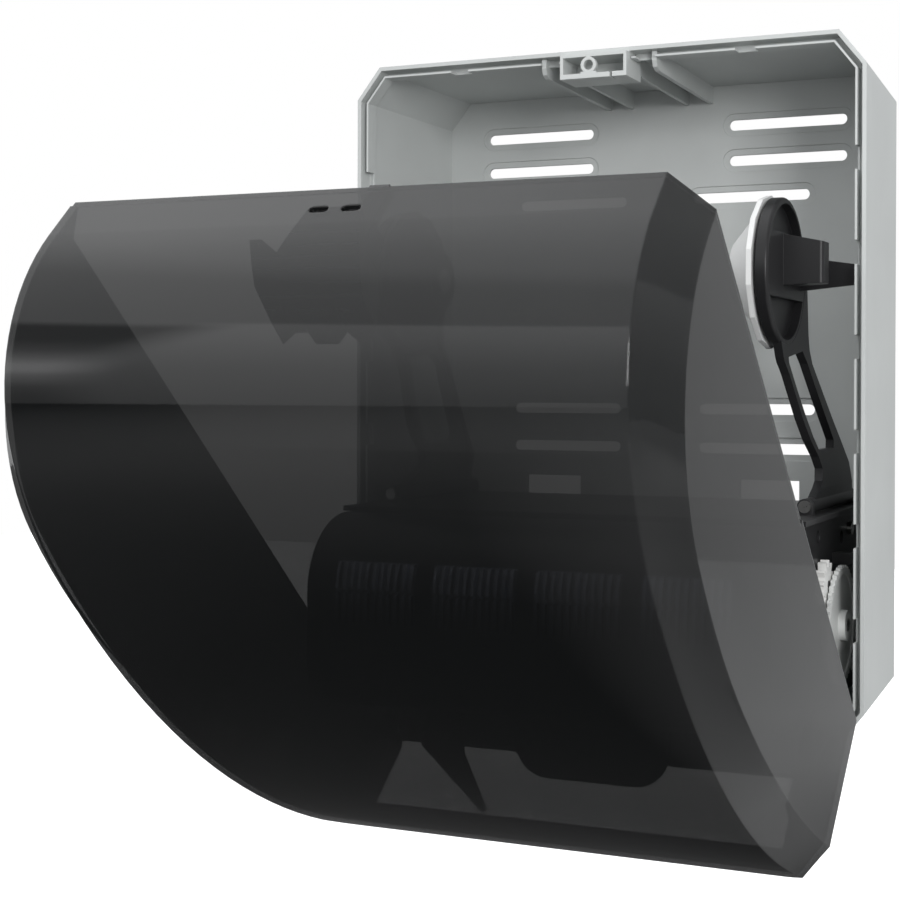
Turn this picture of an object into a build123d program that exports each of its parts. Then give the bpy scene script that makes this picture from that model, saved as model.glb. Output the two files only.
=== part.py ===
from build123d import *
import math
import os

# A wall-hung towel dispenser with its cover open. The origin is on the wall face, midway
# across and midway up the housing. +X is to the right as seen from the room, -Y points
# into the room and +Z is up.

# Housing
HOUSING_WIDTH = 330.0
HOUSING_HEIGHT = 430.0
HOUSING_DEPTH = 120.0
HOUSING_WALL = 2.5
BACK_WALL = 3.0
SIDE_DRAFT = 6.2
TOP_DRAFT = 1.5
TOP_CHAMFER = (16.0, 20.0)
BOTTOM_CHAMFER = (32.0, 40.0)
HALF_WIDTH = HOUSING_WIDTH / 2
HALF_HEIGHT = HOUSING_HEIGHT / 2
RIM_Y = -HOUSING_DEPTH

# Inner lip of the housing and the notches in it
LIP_INSET = 5.6
LIP_THICKNESS = 1.3
LIP_DEPTH = 9.0
LIP_SETBACK = 1.5
NOTCH_WIDTH = 13.7
NOTCH_PITCH = 54.0
NOTCH_LOWEST = 87.0 - HALF_HEIGHT
NOTCH_COUNT = 6
TOP_NOTCH_PITCH = 62.0
TOP_NOTCH_WIDTH = 12.0

# Slots in the back wall, placed from its sides and its top
SLOT_LENGTH = 79.0
SLOT_WIDTH = 7.0
SLOT_BORDER = 4.0
SLOT_RECESS = 0.8
UPPER_SLOT_X = HALF_WIDTH - 77.0
UPPER_SLOTS_Z = (HALF_HEIGHT - 30.5, HALF_HEIGHT - 54.0)
MIDDLE_SLOT_X = UPPER_SLOT_X - 24.5
MIDDLE_SLOT_Z = HALF_HEIGHT - 78.0
LOWER_SLOT_X = UPPER_SLOT_X - 20.5
LOWER_SLOTS_Z = (HALF_HEIGHT - 218.5, HALF_HEIGHT - 244.5)
WINDOW_WIDTH = 40.0
WINDOW_HEIGHT = 44.0
WINDOW_LEFT = HALF_WIDTH - 108.0
WINDOW_RIGHT = WINDOW_LEFT + WINDOW_WIDTH
WINDOW_TOP = HALF_HEIGHT - 265.0

# Ribs and catch under the top wall
GUSSET_X = 36.0
GUSSET_THICKNESS = 3.0
GUSSET_HEIGHT = 11.5
GUSSET_SETBACK = 4.0
INNER_RIB_X = 19.5
INNER_RIB_THICKNESS = 2.2
CATCH_WIDTH = 43.0
CATCH_HEIGHT = 15.5
CATCH_LENGTH = 25.0
CATCH_REACH = 5.0
CATCH_WALL = 2.0
CATCH_SHELF = 3.0
CATCH_GAP = 0.6
HOOK_RADIUS = 5.0
HOOK_WALL = 2.0
HOOK_DEPTH = 3.0
HOOK_X = -3.0
SLIT_WIDTH = 1.5
SLIT_DEPTH = 8.0

# Cover. Its arcs, each a radius and a turn, are drawn for a cover of the stated height
COVER_GAP = 0.6
COVER_INSET = 1.7
COVER_WALL = 2.5
COVER_OPEN = 45.7
ARCS_HEIGHT = 430.0
FRONT_START = 24.0
FRONT_ARCS = ((100.0, 58.7), (173.0, 22.8), (516.0, 35.5))
SIDE_START = 17.0
SIDE_DROP = 20.0
SIDE_ARCS = ((103.0, 77.7), (329.0, 16.5), (666.0, 16.7))
BEVEL_WIDTH = 16.3
COVER_FLOOR_RISE = 8.4
COVER_FLOOR_DEPTH = 82.0
COVER_FLOOR_SLOPE = COVER_FLOOR_RISE / COVER_FLOOR_DEPTH
RIM_BAND = 3.6
RIM_STEP = 0.7
EXIT_LIP = 9.0
COLLAR_HEIGHT = 13.0
COLLAR_WALL = 2.0
COLLAR_REAR = 26.0
KEY_SLOT_X = 8.0
KEY_SLOT_Y = 14.5
KEY_SLOT_LENGTH = 9.6
KEY_SLOT_WIDTH = 4.2
COVER_HALF = HALF_WIDTH - COVER_INSET
COVER_RIM_Y = RIM_Y - COVER_GAP

# Cover hinge
HINGE_FORWARD = 4.9
HINGE_Z = 26.5 - HALF_HEIGHT
HINGE_CLEARANCE = 1.0
PIN_RADIUS = 3.0
PIN_HEAD_RADIUS = 5.0
PIN_HEAD = 1.5
RUNNING = 0.05
EAR_RADIUS = 7.5
EAR_INSIDE = HALF_WIDTH - 33.0
EAR_THICKNESS = 5.0
EAR_REACH = 52.0
EAR_TOE = 20.0
EAR_GUSSET = 3.0
LUG_THICKNESS = 6.0
LUG_REACH = 58.0
LUG_SHOULDER = 16.0
LUG_ROOT = 9.0
SIDE_GAP = 0.5
HEEL_LENGTH = 15.0
HEEL_HEIGHT = 5.0
STOP_GAP = 0.3
STOP_THICKNESS = 4.0
EXIT_HALF_WIDTH = EAR_INSIDE - 1.0
HINGE_Y = RIM_Y - HINGE_FORWARD
HINGE_AXIS = Axis((0, HINGE_Y, HINGE_Z), (1, 0, 0))

# Lock on the cover. Its outline is given in X and back from the rim
LOCK_OUTLINE = ((-16, -10), (9, -10), (29, -62), (23, -69), (15, -63), (14, -70), (3, -70), (-4, -63),
                (-10, -63), (-13, -70), (-25, -55), (-37, -30), (-31, -30), (-20, -38))
LOCK_HEIGHT = 27.0
KEYWAY_HALF = 2.0
LATCH_X = 4.0
LATCH_WIDTH = 12.0
LATCH_FRONT = 38.0
LATCH_BACK = 14.0
LATCH_BODY = 12.0
LATCH_CLEAR = 3.0
LATCH_THICKNESS = 4.0
LATCH_TRAVEL = 4.0
LATCH_REACH = 9.0
TONGUE_INSET = 1.0
NOSE_LENGTH = 3.0
NOSE_LIFT = 1.5
SPRING_POCKET = 4.0
SPRING_WIRE = 0.8
LATCH_SPRING_RADIUS = 3.2
LATCH_SPRING_TURNS = 5
LATCH_PLATE = 2.0
LATCH_PLATE_GAP = 1.0

# Mechanism module, placed from the housing's side walls, rim and floor
PLATE_INSIDE = HALF_WIDTH - 30.0
PLATE_THICKNESS = 3.0
PLATE_OUTSIDE = PLATE_INSIDE + PLATE_THICKNESS
MODULE_BOTTOM = 39.0 - HALF_HEIGHT
MODULE_TOP = MODULE_BOTTOM + 111.0
MODULE_FRONT = RIM_Y - 102.0
MODULE_REAR = -12.0
MODULE_TOP_RADIUS = 44.0
MODULE_LOW_RADIUS = 26.0
GUIDE_WALL = 2.5
SHELF_THICKNESS = 3.0
SHELF_FRONT = RIM_Y - 52.0
SHELF_REACH = 6.0
EXIT_FRONT = SHELF_FRONT - 6.0
REAR_PLATE = 3.0
REAR_WINDOW_HALF = PLATE_INSIDE - 55.0
RIB_PITCH = 4.7
RIB_THICKNESS = 1.9
RIB_HEIGHT = 3.2
RIB_TOP = MODULE_TOP - 25.0
RIB_BREAK = RIB_TOP - 15.0
RIB_GAP = 2.2
RIB_BOTTOM = RIB_BREAK - 19.0
RIB_GROUPS = 4
RIB_GROUP_GAP = 9.0
RIB_GROUP_PITCH = (2 * PLATE_INSIDE - 22.0) / RIB_GROUPS
RIBS_PER_GROUP = int((RIB_GROUP_PITCH - RIB_GROUP_GAP) / RIB_PITCH)
TIE_RADIUS = 4.0
TIE_PLACES = ((MODULE_FRONT + 26.0, MODULE_TOP - 27.0), (MODULE_FRONT + 32.0, MODULE_BOTTOM + 12.0),
              (MODULE_REAR - 28.0, MODULE_TOP - 11.0), (MODULE_REAR - 28.0, MODULE_BOTTOM + 16.0))
PLATE_HOLE_RADIUS = 4.0
PLATE_HOLE_PLACES = ((MODULE_FRONT + 102.0, MODULE_TOP - 10.0), (MODULE_REAR - 48.0, MODULE_TOP - 15.0),
                     (MODULE_FRONT + 46.0, MODULE_TOP - 23.0))
SCREW_RADIUS = 2.0
SCREW_HEAD_RADIUS = 4.0
SCREW_HEAD = 2.4
SCREW_LENGTH = 12.0
MODULE_SCREW_X = PLATE_INSIDE - 23.0
MODULE_SCREWS_Z = (MODULE_TOP - 19.0, MODULE_BOTTOM + 20.0)

# Feed drum, its shaft and the knife inside it
DRUM_Y = RIM_Y + 23.0
DRUM_Z = MODULE_BOTTOM + 48.0
DRUM_RADIUS = 40.0
DRUM_WALL = 3.0
DRUM_LENGTH = 2 * (PLATE_INSIDE - 27.0)
DRUM_SLOT = (6.0, 26.0)
BAND_HEIGHT = 1.0
BAND_WIDTH = 16.0
BAND_COUNT = 5
BAND_MARGIN = 12.0
BAND_PITCH = (DRUM_LENGTH - BAND_WIDTH - 2 * BAND_MARGIN) / (BAND_COUNT - 1)
SHAFT_RADIUS = 4.0
BUSH_RADIUS = 8.0
BUSH_FLANGE = 11.0
BUSH_FLANGE_THICKNESS = 2.0
KNIFE_PIVOT = 20.0
KNIFE_TILT = 70.0
KNIFE_RADIUS = 5.0
KNIFE_PIN_RADIUS = 2.0
KNIFE_HOLDER = 15.0
BLADE_REACH = 25.0
BLADE_GRIP = 8.0
BLADE_THICKNESS = 0.8
BLADE_LENGTH = DRUM_LENGTH - 12.0
BLADE_TOOTH = 3.4
BLADE_TOOTH_HEIGHT = 2.6
KNIFE_Z = DRUM_Z + KNIFE_PIVOT
DRUM_AXIS = Axis((0, DRUM_Y, DRUM_Z), (1, 0, 0))

# Square bar over the gear and the hand wheel
GUARD_SIZE = 7.0
GUARD_Y = DRUM_Y + 13.0
GUARD_Z = DRUM_Z + 34.0
GUARD_LENGTH = 15.0

# Pinch roller in front of the drum
ROLLER_RADIUS = 12.0
ROLLER_LENGTH = DRUM_LENGTH - 16.0
ROLLER_SHAFT_RADIUS = 3.0
ROLLER_NIP = 0.3
ROLLER_Y = DRUM_Y - DRUM_RADIUS - BAND_HEIGHT - ROLLER_RADIUS - ROLLER_NIP
SLEEVE_WIDTH = 22.0
SLEEVE_WALL = 2.0
CLIP_RADIUS = 5.5
CLIP_THICKNESS = 1.2

# Gears, hand wheel and damper outside the right plate
PLATE_GAP = 1.0
PLATE_FACE = PLATE_OUTSIDE + PLATE_GAP
GEAR_MODULE = 2.0
GEAR_WIDTH = 5.0
GEAR_TIP = 0.9
GEAR_ROOT = 1.15
ROOT_HALF = 0.31
TIP_HALF = 0.11
DRUM_TEETH = 22
PINION_TEETH = 12
GEAR_PLAY = 0.2
MESH_ANGLE = 50.0
GEAR_WEB = 2.0
GEAR_RING = (9.0, 17.0)
GEAR_HOLE_RADIUS = 2.6
GEAR_HOLES = 5
WHEEL_INSIDE = PLATE_FACE + GEAR_WIDTH + PLATE_GAP
WHEEL_RADIUS = 35.0
WHEEL_TEETH = 44
WHEEL_WIDTH = 2.6
WHEEL_WEB = 1.4
WHEEL_TOOTH = 1.8
WHEEL_RIM = 5.0
WHEEL_HUB_RADIUS = 9.0
WHEEL_HUB = 3.0
DAMPER_RADIUS = 15.0
DAMPER_DEPTH = 6.0
MESH_TURN = math.radians(180.0 - MESH_ANGLE)
MESH_DISTANCE = GEAR_MODULE * (DRUM_TEETH + PINION_TEETH) / 2 + GEAR_PLAY
DAMPER_Y = DRUM_Y + MESH_DISTANCE * math.cos(MESH_TURN)
DAMPER_Z = DRUM_Z + MESH_DISTANCE * math.sin(MESH_TURN)

# Crank, spring and stop lever outside the left plate
CRANK_RADIUS = 26.0
CRANK_THICKNESS = 4.0
CRANK_THROW = 17.0
CRANK_PIN_RADIUS = 2.5
CRANK_PIN = 9.0
CRANK_FACE = PLATE_FACE + CRANK_THICKNESS
SPRING_RADIUS = 4.2
SPRING_COIL_WIRE = 1.1
SPRING_TURNS = 18
SPRING_OFFSET = 4.8
POST_Y = DRUM_Y + 65.0
POST_Z = DRUM_Z + 36.0
POST_RADIUS = 2.5
POST_COLLAR = 1.8
STOP_ANGLE = 150.0
STOP_LENGTH = 34.0
STOP_ROLLER_RADIUS = 5.0
STOP_PIN_RADIUS = 2.5
STOP_ARM_RADIUS = 2.5
STOP_TAIL = (19.0, 6.0)
NOTCH_RADIUS = 6.0

# Chute, exit tab and feed lever under the module
CHUTE_GAP = 5.0
CHUTE_WALL = 2.0
TAB_Y = RIM_Y - 8.0
TAB_THICKNESS = 2.5
TAB_WIDTH = 100.0
TAB_GRIP = 6.0
TAB_BOTTOM = MODULE_BOTTOM - 52.0
TAB_CORNER = 22.0
LEVER_X = -38.0 - TAB_WIDTH / 2
LEVER_FORWARD = 10.0
LEVER_THICKNESS = 3.0
LEVER_PIVOT_Z = MODULE_BOTTOM + 8.0
LEVER_PIVOT_RADIUS = 3.0
LEVER_BARREL = 17.0
LEVER_WAIST = ((-12.0, 5.0), 16.0)
LEVER_FOOT = ((-20.0, -44.0), (22.0, -82.0), (24.0, -80.0), (9.0, -48.0))
CHEEK_THICKNESS = 3.5

# Roll arms. Their outline is given from the hub, for the stated distance from hub to heel
HUB_Y = RIM_Y - 18.0
HUB_Z = MODULE_TOP + 141.0
HUB_AXIS = Axis((0, HUB_Y, HUB_Z), (1, 0, 0))
ARM_OUTSIDE = PLATE_INSIDE - 11.0
ARM_FOOT_OUTSIDE = PLATE_INSIDE + 1.0
ARM_PLATE = 2.4
ARM_FLANGE = 5.0
FLANGE_WALL = 3.6
FOOT_X = PLATE_INSIDE - 2.0
FOOT_Z = MODULE_TOP + 8.0
FOOT_RADIUS = 4.5
FOOT_PIN_RADIUS = 2.2
FOOT_FRONT = HUB_Y + 13.0
FOOT_REAR = MODULE_REAR - 10.0
ARM_DRAWN = 116.0
ARM_OUTLINE = ((-13, -38), (-7, -48), (2, -58), (10, -72), (17, -84), (27, -96), (40, -106), (45, -113),
               (40, -120), (27, -126), (13, -133), (116, -133), (116, -112), (104, -99), (93, -88),
               (82, -76), (65, -57), (53, -43), (50, -34), (47, -8), (0, 0))
ARM_WINDOW = ((4, -48), (6, -53), (13, -65), (23, -80), (34, -94), (43, -102), (80, -102), (84, -97),
              (76, -87), (62, -70), (48, -51), (36, -44))
ARM_BEND_TOP = HUB_Z - 51.0
ARM_BEND_LOW = FOOT_Z + 9.0
CUP_RADIUS = 42.0
CUP_DEPTH = 7.0
CUP_RIM = 3.5
CUP_FLOOR = 2.0
POCKET_EDGES = (HUB_Z - 15.0, HUB_Z + 21.5)
GRIP_REACH = 23.0
GRIP_LOW = HUB_Z - 8.0
GRIP_HIGH = HUB_Z + 21.0
GRIP_TAPER = (1.0, 5.0)
GRIP_FRONT = HUB_Y - 9.0
GRIP_THICKNESS = 15.0
GRIP_ROUND = 2.5
TAB_REACH = 31.5
TAB_LOW = (GRIP_LOW - 1.0, GRIP_LOW + 2.0)
TAB_HIGH = (HUB_Z + 11.0, HUB_Z + 6.0)
TAB_FRONT = RIM_Y + LIP_SETBACK + LIP_DEPTH + 1.6
TAB_PLATE = 4.0
LUG_WIDTH = 6.0

# Core plugs
FLANGE_RADIUS = 43.5
FLANGE_THICKNESS = 3.0
FLANGE_SIDES = 14
FLANGE_GAP = 2.0
PLUG_RADIUS = 37.0
PLUG_TIP_RADIUS = 18.0
PLUG_LENGTH = 17.0
PLUG_WALL = 2.5
PLUG_RIBS = 6
PLUG_RIB_HALF = 0.9
AXLE_RADIUS = 5.0
AXLE_GRIP = 4.0
AXLE_HEAD_RADIUS = 7.5
AXLE_HEAD = 2.0


def front_plane(y):
    return Plane(origin=(0, y, 0), x_dir=(1, 0, 0), z_dir=(0, -1, 0))


def side_plane(x):
    return Plane(origin=(x, 0, 0), x_dir=(0, 1, 0), z_dir=(1, 0, 0))


def box(x, y, z):
    """A box given by its three ranges."""
    size = [hi - lo for lo, hi in (x, y, z)]
    middle = [(hi + lo) / 2 for lo, hi in (x, y, z)]
    return Pos(*middle) * Box(*size)


def rod_x(radius, x0, x1, y, z):
    return Pos((x0 + x1) / 2, y, z) * Rot(0, 90, 0) * Cylinder(radius, abs(x1 - x0))


def rod_y(radius, y0, y1, x, z):
    return Pos(x, (y0 + y1) / 2, z) * Rot(90, 0, 0) * Cylinder(radius, abs(y1 - y0))


def rod_z(radius, z0, z1, x, y):
    return Pos(x, y, (z0 + z1) / 2) * Cylinder(radius, abs(z1 - z0))


def plate_x(x0, x1, points):
    """A flat piece square to X with its outline given in Y and Z."""
    return extrude(side_plane(min(x0, x1)) * make_face(Polyline(*points, close=True)), abs(x1 - x0))


def mirrored(shape):
    return mirror(shape, about=Plane.YZ)


def opened(shape):
    """Turns a piece of the closed cover about the hinge to where the cover stands open."""
    return shape.rotate(HINGE_AXIS, COVER_OPEN)


def together(solids):
    return Compound(children=[s for shape in solids for s in shape.solids()])


def octagon(half_width, half_height):
    """The front outline of the housing, in X and Z, with its four cut corners."""
    top_x, top_z = TOP_CHAMFER
    low_x, low_z = BOTTOM_CHAMFER
    right = [
        (half_width - low_x, -half_height),
        (half_width, -half_height + low_z),
        (half_width, half_height - top_z),
        (half_width - top_x, half_height),
    ]
    return right + [(-x, z) for x, z in reversed(right)]


def inset_outline(y, inset):
    taper = SIDE_DRAFT * (y - RIM_Y) / HOUSING_DEPTH
    drop = TOP_DRAFT * (y - RIM_Y) / HOUSING_DEPTH
    outline = make_face(Polyline(*octagon(HALF_WIDTH - taper, HALF_HEIGHT - drop), close=True))
    if inset:
        outline = offset(outline, -inset, kind=Kind.INTERSECTION)
    return front_plane(y) * outline


def back_housing():
    shell = loft([inset_outline(RIM_Y, 0), inset_outline(0, 0)], ruled=True)
    mouth, floor = inset_outline(RIM_Y - 1, HOUSING_WALL), inset_outline(-BACK_WALL, HOUSING_WALL)
    hollow = loft([mouth, floor], ruled=True)
    body = shell - hollow
    # Inner lip behind the rim, carried by a narrow ledge and broken by notches
    ledge_y = RIM_Y + LIP_SETBACK + LIP_DEPTH
    outer = offset(make_face(Polyline(*octagon(HALF_WIDTH, HALF_HEIGHT), close=True)), -HOUSING_WALL / 2,
                   kind=Kind.INTERSECTION)
    lip_outer = offset(make_face(Polyline(*octagon(HALF_WIDTH, HALF_HEIGHT), close=True)), -LIP_INSET,
                       kind=Kind.INTERSECTION)
    lip_inner = offset(make_face(Polyline(*octagon(HALF_WIDTH, HALF_HEIGHT), close=True)),
                       -LIP_INSET - LIP_THICKNESS, kind=Kind.INTERSECTION)
    ledge = extrude(front_plane(ledge_y) * (outer - lip_inner), -HOUSING_WALL / 2)
    lip = extrude(front_plane(ledge_y) * (lip_outer - lip_inner), LIP_DEPTH)
    notch_y = (RIM_Y - 1, ledge_y - LIP_THICKNESS)
    notches = []
    for i in range(NOTCH_COUNT):
        z = NOTCH_LOWEST + i * NOTCH_PITCH
        notches.append(box((-HALF_WIDTH + HOUSING_WALL, HALF_WIDTH - HOUSING_WALL), notch_y,
                           (z - NOTCH_WIDTH / 2, z + NOTCH_WIDTH / 2)))
    top_z = (HALF_HEIGHT - LIP_INSET - 2 * LIP_THICKNESS, HALF_HEIGHT - HOUSING_WALL)
    for i in range(-1, 3):
        x = (i - 0.5) * TOP_NOTCH_PITCH
        notches.append(box((x - TOP_NOTCH_WIDTH / 2, x + TOP_NOTCH_WIDTH / 2), notch_y, top_z))
    catch_half = CATCH_WIDTH / 2 + SIDE_GAP
    notches.append(box((-catch_half, catch_half), (RIM_Y - 1, ledge_y + HOUSING_WALL), top_z))
    # The hinge lugs stand where the bottom lip would be
    low_z = (-HALF_HEIGHT + HOUSING_WALL, HINGE_Z + EAR_RADIUS + 2)
    notches.append(box((-HALF_WIDTH, HALF_WIDTH), (RIM_Y - 1, ledge_y + HOUSING_WALL), low_z))
    body += (ledge + lip) - notches
    # Webs under the top wall
    ceiling = HALF_HEIGHT - HOUSING_WALL / 2
    for x, thickness in ((GUSSET_X, GUSSET_THICKNESS), (INNER_RIB_X, INNER_RIB_THICKNESS)):
        low = ceiling - HOUSING_WALL / 2 - GUSSET_HEIGHT
        start = RIM_Y + GUSSET_SETBACK
        if x == INNER_RIB_X:
            start = RIM_Y - CATCH_REACH + CATCH_LENGTH
        nose = GUSSET_HEIGHT / 2
        outline = [(start, ceiling - TOP_DRAFT), (start, low + nose), (start + nose / 3, low + nose / 3),
                   (start + nose, low), (-BACK_WALL / 2, low - TOP_DRAFT),
                   (-BACK_WALL / 2, ceiling - TOP_DRAFT)]
        for side in (-1, 1):
            body += plate_x(side * x - thickness / 2, side * x + thickness / 2, outline)
    # Wall slots in their shallow borders, and the window behind the mechanism
    places = [(x, z) for z in UPPER_SLOTS_Z for x in (-UPPER_SLOT_X, UPPER_SLOT_X)]
    places += [(x, MIDDLE_SLOT_Z) for x in (-MIDDLE_SLOT_X, MIDDLE_SLOT_X)]
    places += [(x, z) for z in LOWER_SLOTS_Z for x in (-LOWER_SLOT_X, LOWER_SLOT_X)]
    cuts = []
    for x, z in places:
        slot = Pos(x, z) * SlotOverall(SLOT_LENGTH, SLOT_WIDTH)
        cuts.append(extrude(front_plane(1) * slot, BACK_WALL + 2))
        border = SlotOverall(SLOT_LENGTH + 2 * SLOT_BORDER, SLOT_WIDTH + 2 * SLOT_BORDER)
        cuts.append(extrude(front_plane(-BACK_WALL + SLOT_RECESS) * Pos(x, z) * border, 2))
    for side in (-1, 1):
        x0, x1 = sorted((side * WINDOW_LEFT, side * WINDOW_RIGHT))
        cuts.append(box((x0, x1), (-BACK_WALL - 1, 1), (WINDOW_TOP - WINDOW_HEIGHT, WINDOW_TOP)))
    body -= cuts
    # Hinge lugs reach forward from the bottom wall to the pins
    for side in (-1, 1):
        body += hinge_lug(side)
    return body - [screw_hole(x, y, z) for x, y, z in module_screw_places()] + wall_bosses()


def hinge_lug(side):
    inside = EAR_INSIDE - SIDE_GAP - LUG_THICKNESS
    floor = -HALF_HEIGHT + HOUSING_WALL / 2
    top = HINGE_Z + EAR_RADIUS
    root = HINGE_Y + LUG_REACH
    outline = [(HINGE_Y, top), (HINGE_Y + LUG_SHOULDER, top), (root, floor + LUG_ROOT), (root, floor),
               (RIM_Y + 1, floor), (HINGE_Y - EAR_RADIUS, HINGE_Z)]
    x0, x1 = sorted((side * inside, side * (inside + LUG_THICKNESS)))
    lug = plate_x(x0, x1, outline) + rod_x(EAR_RADIUS, x0, x1, HINGE_Y, HINGE_Z)
    # The stop stands out over the heel of the ear and holds the open cover
    heel_top = HINGE_Z + HEEL_HEIGHT / 2 + STOP_GAP
    stop_x = sorted((side * inside, side * (EAR_INSIDE + EAR_THICKNESS)))
    stop_y = (HINGE_Y + EAR_RADIUS + 2, HINGE_Y + HEEL_LENGTH)
    lug += box(stop_x, stop_y, (heel_top, heel_top + STOP_THICKNESS))
    return lug - rod_x(PIN_RADIUS, x0 - 1, x1 + 1, HINGE_Y, HINGE_Z)


def module_screw_places():
    """Screws hold the module's rear plate to bosses on the back wall."""
    return [(x, MODULE_REAR, z) for x in (-MODULE_SCREW_X, MODULE_SCREW_X) for z in MODULE_SCREWS_Z]


def screw_hole(x, y, z):
    return rod_y(SCREW_RADIUS - 0.1, y, -BACK_WALL / 2, x, z)


def wall_bosses():
    bosses = []
    for x, y, z in module_screw_places():
        boss = rod_y(SCREW_HEAD_RADIUS, MODULE_REAR, -BACK_WALL / 2, x, z)
        bosses.append(boss - rod_y(SCREW_RADIUS, MODULE_REAR - 1, -BACK_WALL, x, z))
    return bosses


def latch_catch():
    """A box-shaped catch under the top wall, open to the front, with a round hook loop."""
    ceiling = HALF_HEIGHT - HOUSING_WALL
    low = ceiling - CATCH_HEIGHT
    front = RIM_Y - CATCH_REACH
    rear = front + CATCH_LENGTH
    x = (-CATCH_WIDTH / 2, CATCH_WIDTH / 2)
    # Its top follows the slope of the top wall, and is lower where it stands under the cover
    fall = TOP_DRAFT / HOUSING_DEPTH * (rear - RIM_Y)
    outline = [(front, low), (rear, low), (rear, ceiling - fall), (RIM_Y, ceiling),
               (RIM_Y, ceiling - CATCH_GAP), (front, ceiling - CATCH_GAP)]
    block = plate_x(x[0], x[1], outline)
    block -= box((x[0] + CATCH_WALL, x[1] - CATCH_WALL), (front - 1, rear - CATCH_WALL),
                 (low + CATCH_SHELF, ceiling - CATCH_GAP - CATCH_WALL))
    loop_y = (front, front + HOOK_DEPTH)
    loop_z = low + CATCH_SHELF + HOOK_RADIUS
    loop = rod_y(HOOK_RADIUS, *loop_y, HOOK_X, loop_z)
    loop -= rod_y(HOOK_RADIUS - HOOK_WALL, front - 1, front + HOOK_DEPTH + 1, HOOK_X, loop_z)
    loop += box((HOOK_X - HOOK_RADIUS, HOOK_X + HOOK_RADIUS), loop_y,
                (loop_z - HOOK_RADIUS - 1, loop_z - HOOK_RADIUS + 1))
    slit = box((CATCH_WIDTH / 4, CATCH_WIDTH / 4 + SLIT_WIDTH), (front - 1, front + SLIT_DEPTH),
               (low - 1, low + CATCH_SHELF + 1))
    return block + loop - slit


def arc_outline(start, drop, arcs, inset):
    """The cover's outline in Y and Z, seen from the side: three tangent arcs from the flat
    top round the front to the floor, moved inward by the inset."""
    scale = HOUSING_HEIGHT / ARCS_HEIGHT
    y = COVER_RIM_Y - start
    z = HALF_HEIGHT - drop - inset
    edges = [Line((COVER_RIM_Y + inset, z), (y, z))]
    heading = 0.0
    for radius, turn in arcs:
        r = radius * scale - inset
        bend = math.radians(turn)
        centre = (y + r * math.sin(heading), z - r * math.cos(heading))
        points = [(y, z)]
        for part in (0.5, 1.0):
            a = heading + part * bend
            points.append((centre[0] - r * math.sin(a), centre[1] + r * math.cos(a)))
        edges.append(ThreePointArc(*points))
        heading += bend
        y, z = points[-1]
    floor_z = -HALF_HEIGHT + inset
    end = (COVER_RIM_Y + inset, floor_z)
    edges.append(Line((y, z), end))
    edges.append(Line(end, (COVER_RIM_Y + inset, HALF_HEIGHT - drop - inset)))
    return edges


def cover_solid(inset):
    """The closed cover as a full block: flat ends, sloped bevels and the curved front."""
    sections = []
    for x, start, drop, arcs in ((COVER_HALF - inset, SIDE_START, SIDE_DROP, SIDE_ARCS),
                                 (COVER_HALF - BEVEL_WIDTH - inset / 2, FRONT_START, 0.0, FRONT_ARCS)):
        edges = arc_outline(start, drop, arcs, inset)
        sections.append((x, edges))
    order = [(-sections[0][0], sections[0][1]), (-sections[1][0], sections[1][1]),
             (sections[1][0], sections[1][1]), (sections[0][0], sections[0][1])]
    faces = [side_plane(x) * make_face(Curve() + edges) for x, edges in order]
    block = loft(faces, ruled=True)
    return block & floor_prism(inset)


def floor_prism(inset):
    """A block whose floor rises to the front and whose lower corners are cut off."""
    low_x, low_z = BOTTOM_CHAMFER
    side = math.hypot(low_x, low_z)
    shift = inset * (side + low_z - low_x) / low_z - inset
    faces = []
    for depth in (-HOUSING_WALL, 3 * COVER_FLOOR_DEPTH):
        low = -HALF_HEIGHT + COVER_FLOOR_SLOPE * depth + inset
        outline = [(COVER_HALF - low_x - shift / 2, low), (COVER_HALF - inset, low + low_z - shift / 2),
                   (COVER_HALF - inset, HALF_HEIGHT + 5)]
        outline += [(-x, z) for x, z in reversed(outline)]
        faces.append(front_plane(COVER_RIM_Y - depth) * make_face(Polyline(*outline, close=True)))
    return loft(faces, ruled=True)


def cover_shell():
    rim = COVER_RIM_Y
    body = cover_solid(0.0) - cover_solid(COVER_WALL)
    # The rim face is open, and a narrow band along it is stepped in
    mouth = box((-HALF_WIDTH, HALF_WIDTH), (rim - COVER_WALL - 0.01, rim + COVER_WALL),
                (-HALF_HEIGHT, HALF_HEIGHT + 5))
    body -= mouth & cover_solid(COVER_WALL).moved(Location((0, COVER_WALL + 0.02, 0)))
    band = cover_solid(0.0) - cover_solid(RIM_STEP)
    body -= band & box((-HALF_WIDTH, HALF_WIDTH), (rim - RIM_BAND, rim + 1), (0, HALF_HEIGHT + 5))
    # The paper leaves through the floor, inside a low collar
    front = rim - COVER_FLOOR_DEPTH + EXIT_LIP
    body -= box((-EXIT_HALF_WIDTH, EXIT_HALF_WIDTH), (front, rim + 5), (-HALF_HEIGHT - 5, -HALF_HEIGHT + 20))
    rear = rim - COLLAR_REAR
    top = -HALF_HEIGHT + COVER_FLOOR_RISE + COLLAR_HEIGHT
    outer = box((-EXIT_HALF_WIDTH - COLLAR_WALL, EXIT_HALF_WIDTH + COLLAR_WALL), (front - COLLAR_WALL, rear),
                (-HALF_HEIGHT, top))
    inner = box((-EXIT_HALF_WIDTH, EXIT_HALF_WIDTH), (front, rear + 1), (-HALF_HEIGHT - 1, top + 1))
    body += (outer - inner) & cover_solid(COVER_WALL / 2)
    # Nothing below the pins may swing back past the housing's rim
    body -= rim_clearance()
    key_slot = extrude(SlotOverall(KEY_SLOT_LENGTH, KEY_SLOT_WIDTH), 2 * COVER_WALL, both=True)
    for x in (-KEY_SLOT_X, KEY_SLOT_X):
        body -= Pos(x, rim - KEY_SLOT_Y, HALF_HEIGHT) * key_slot
    for side in (-1, 1):
        body += hinge_ear(side)
    return body


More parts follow.
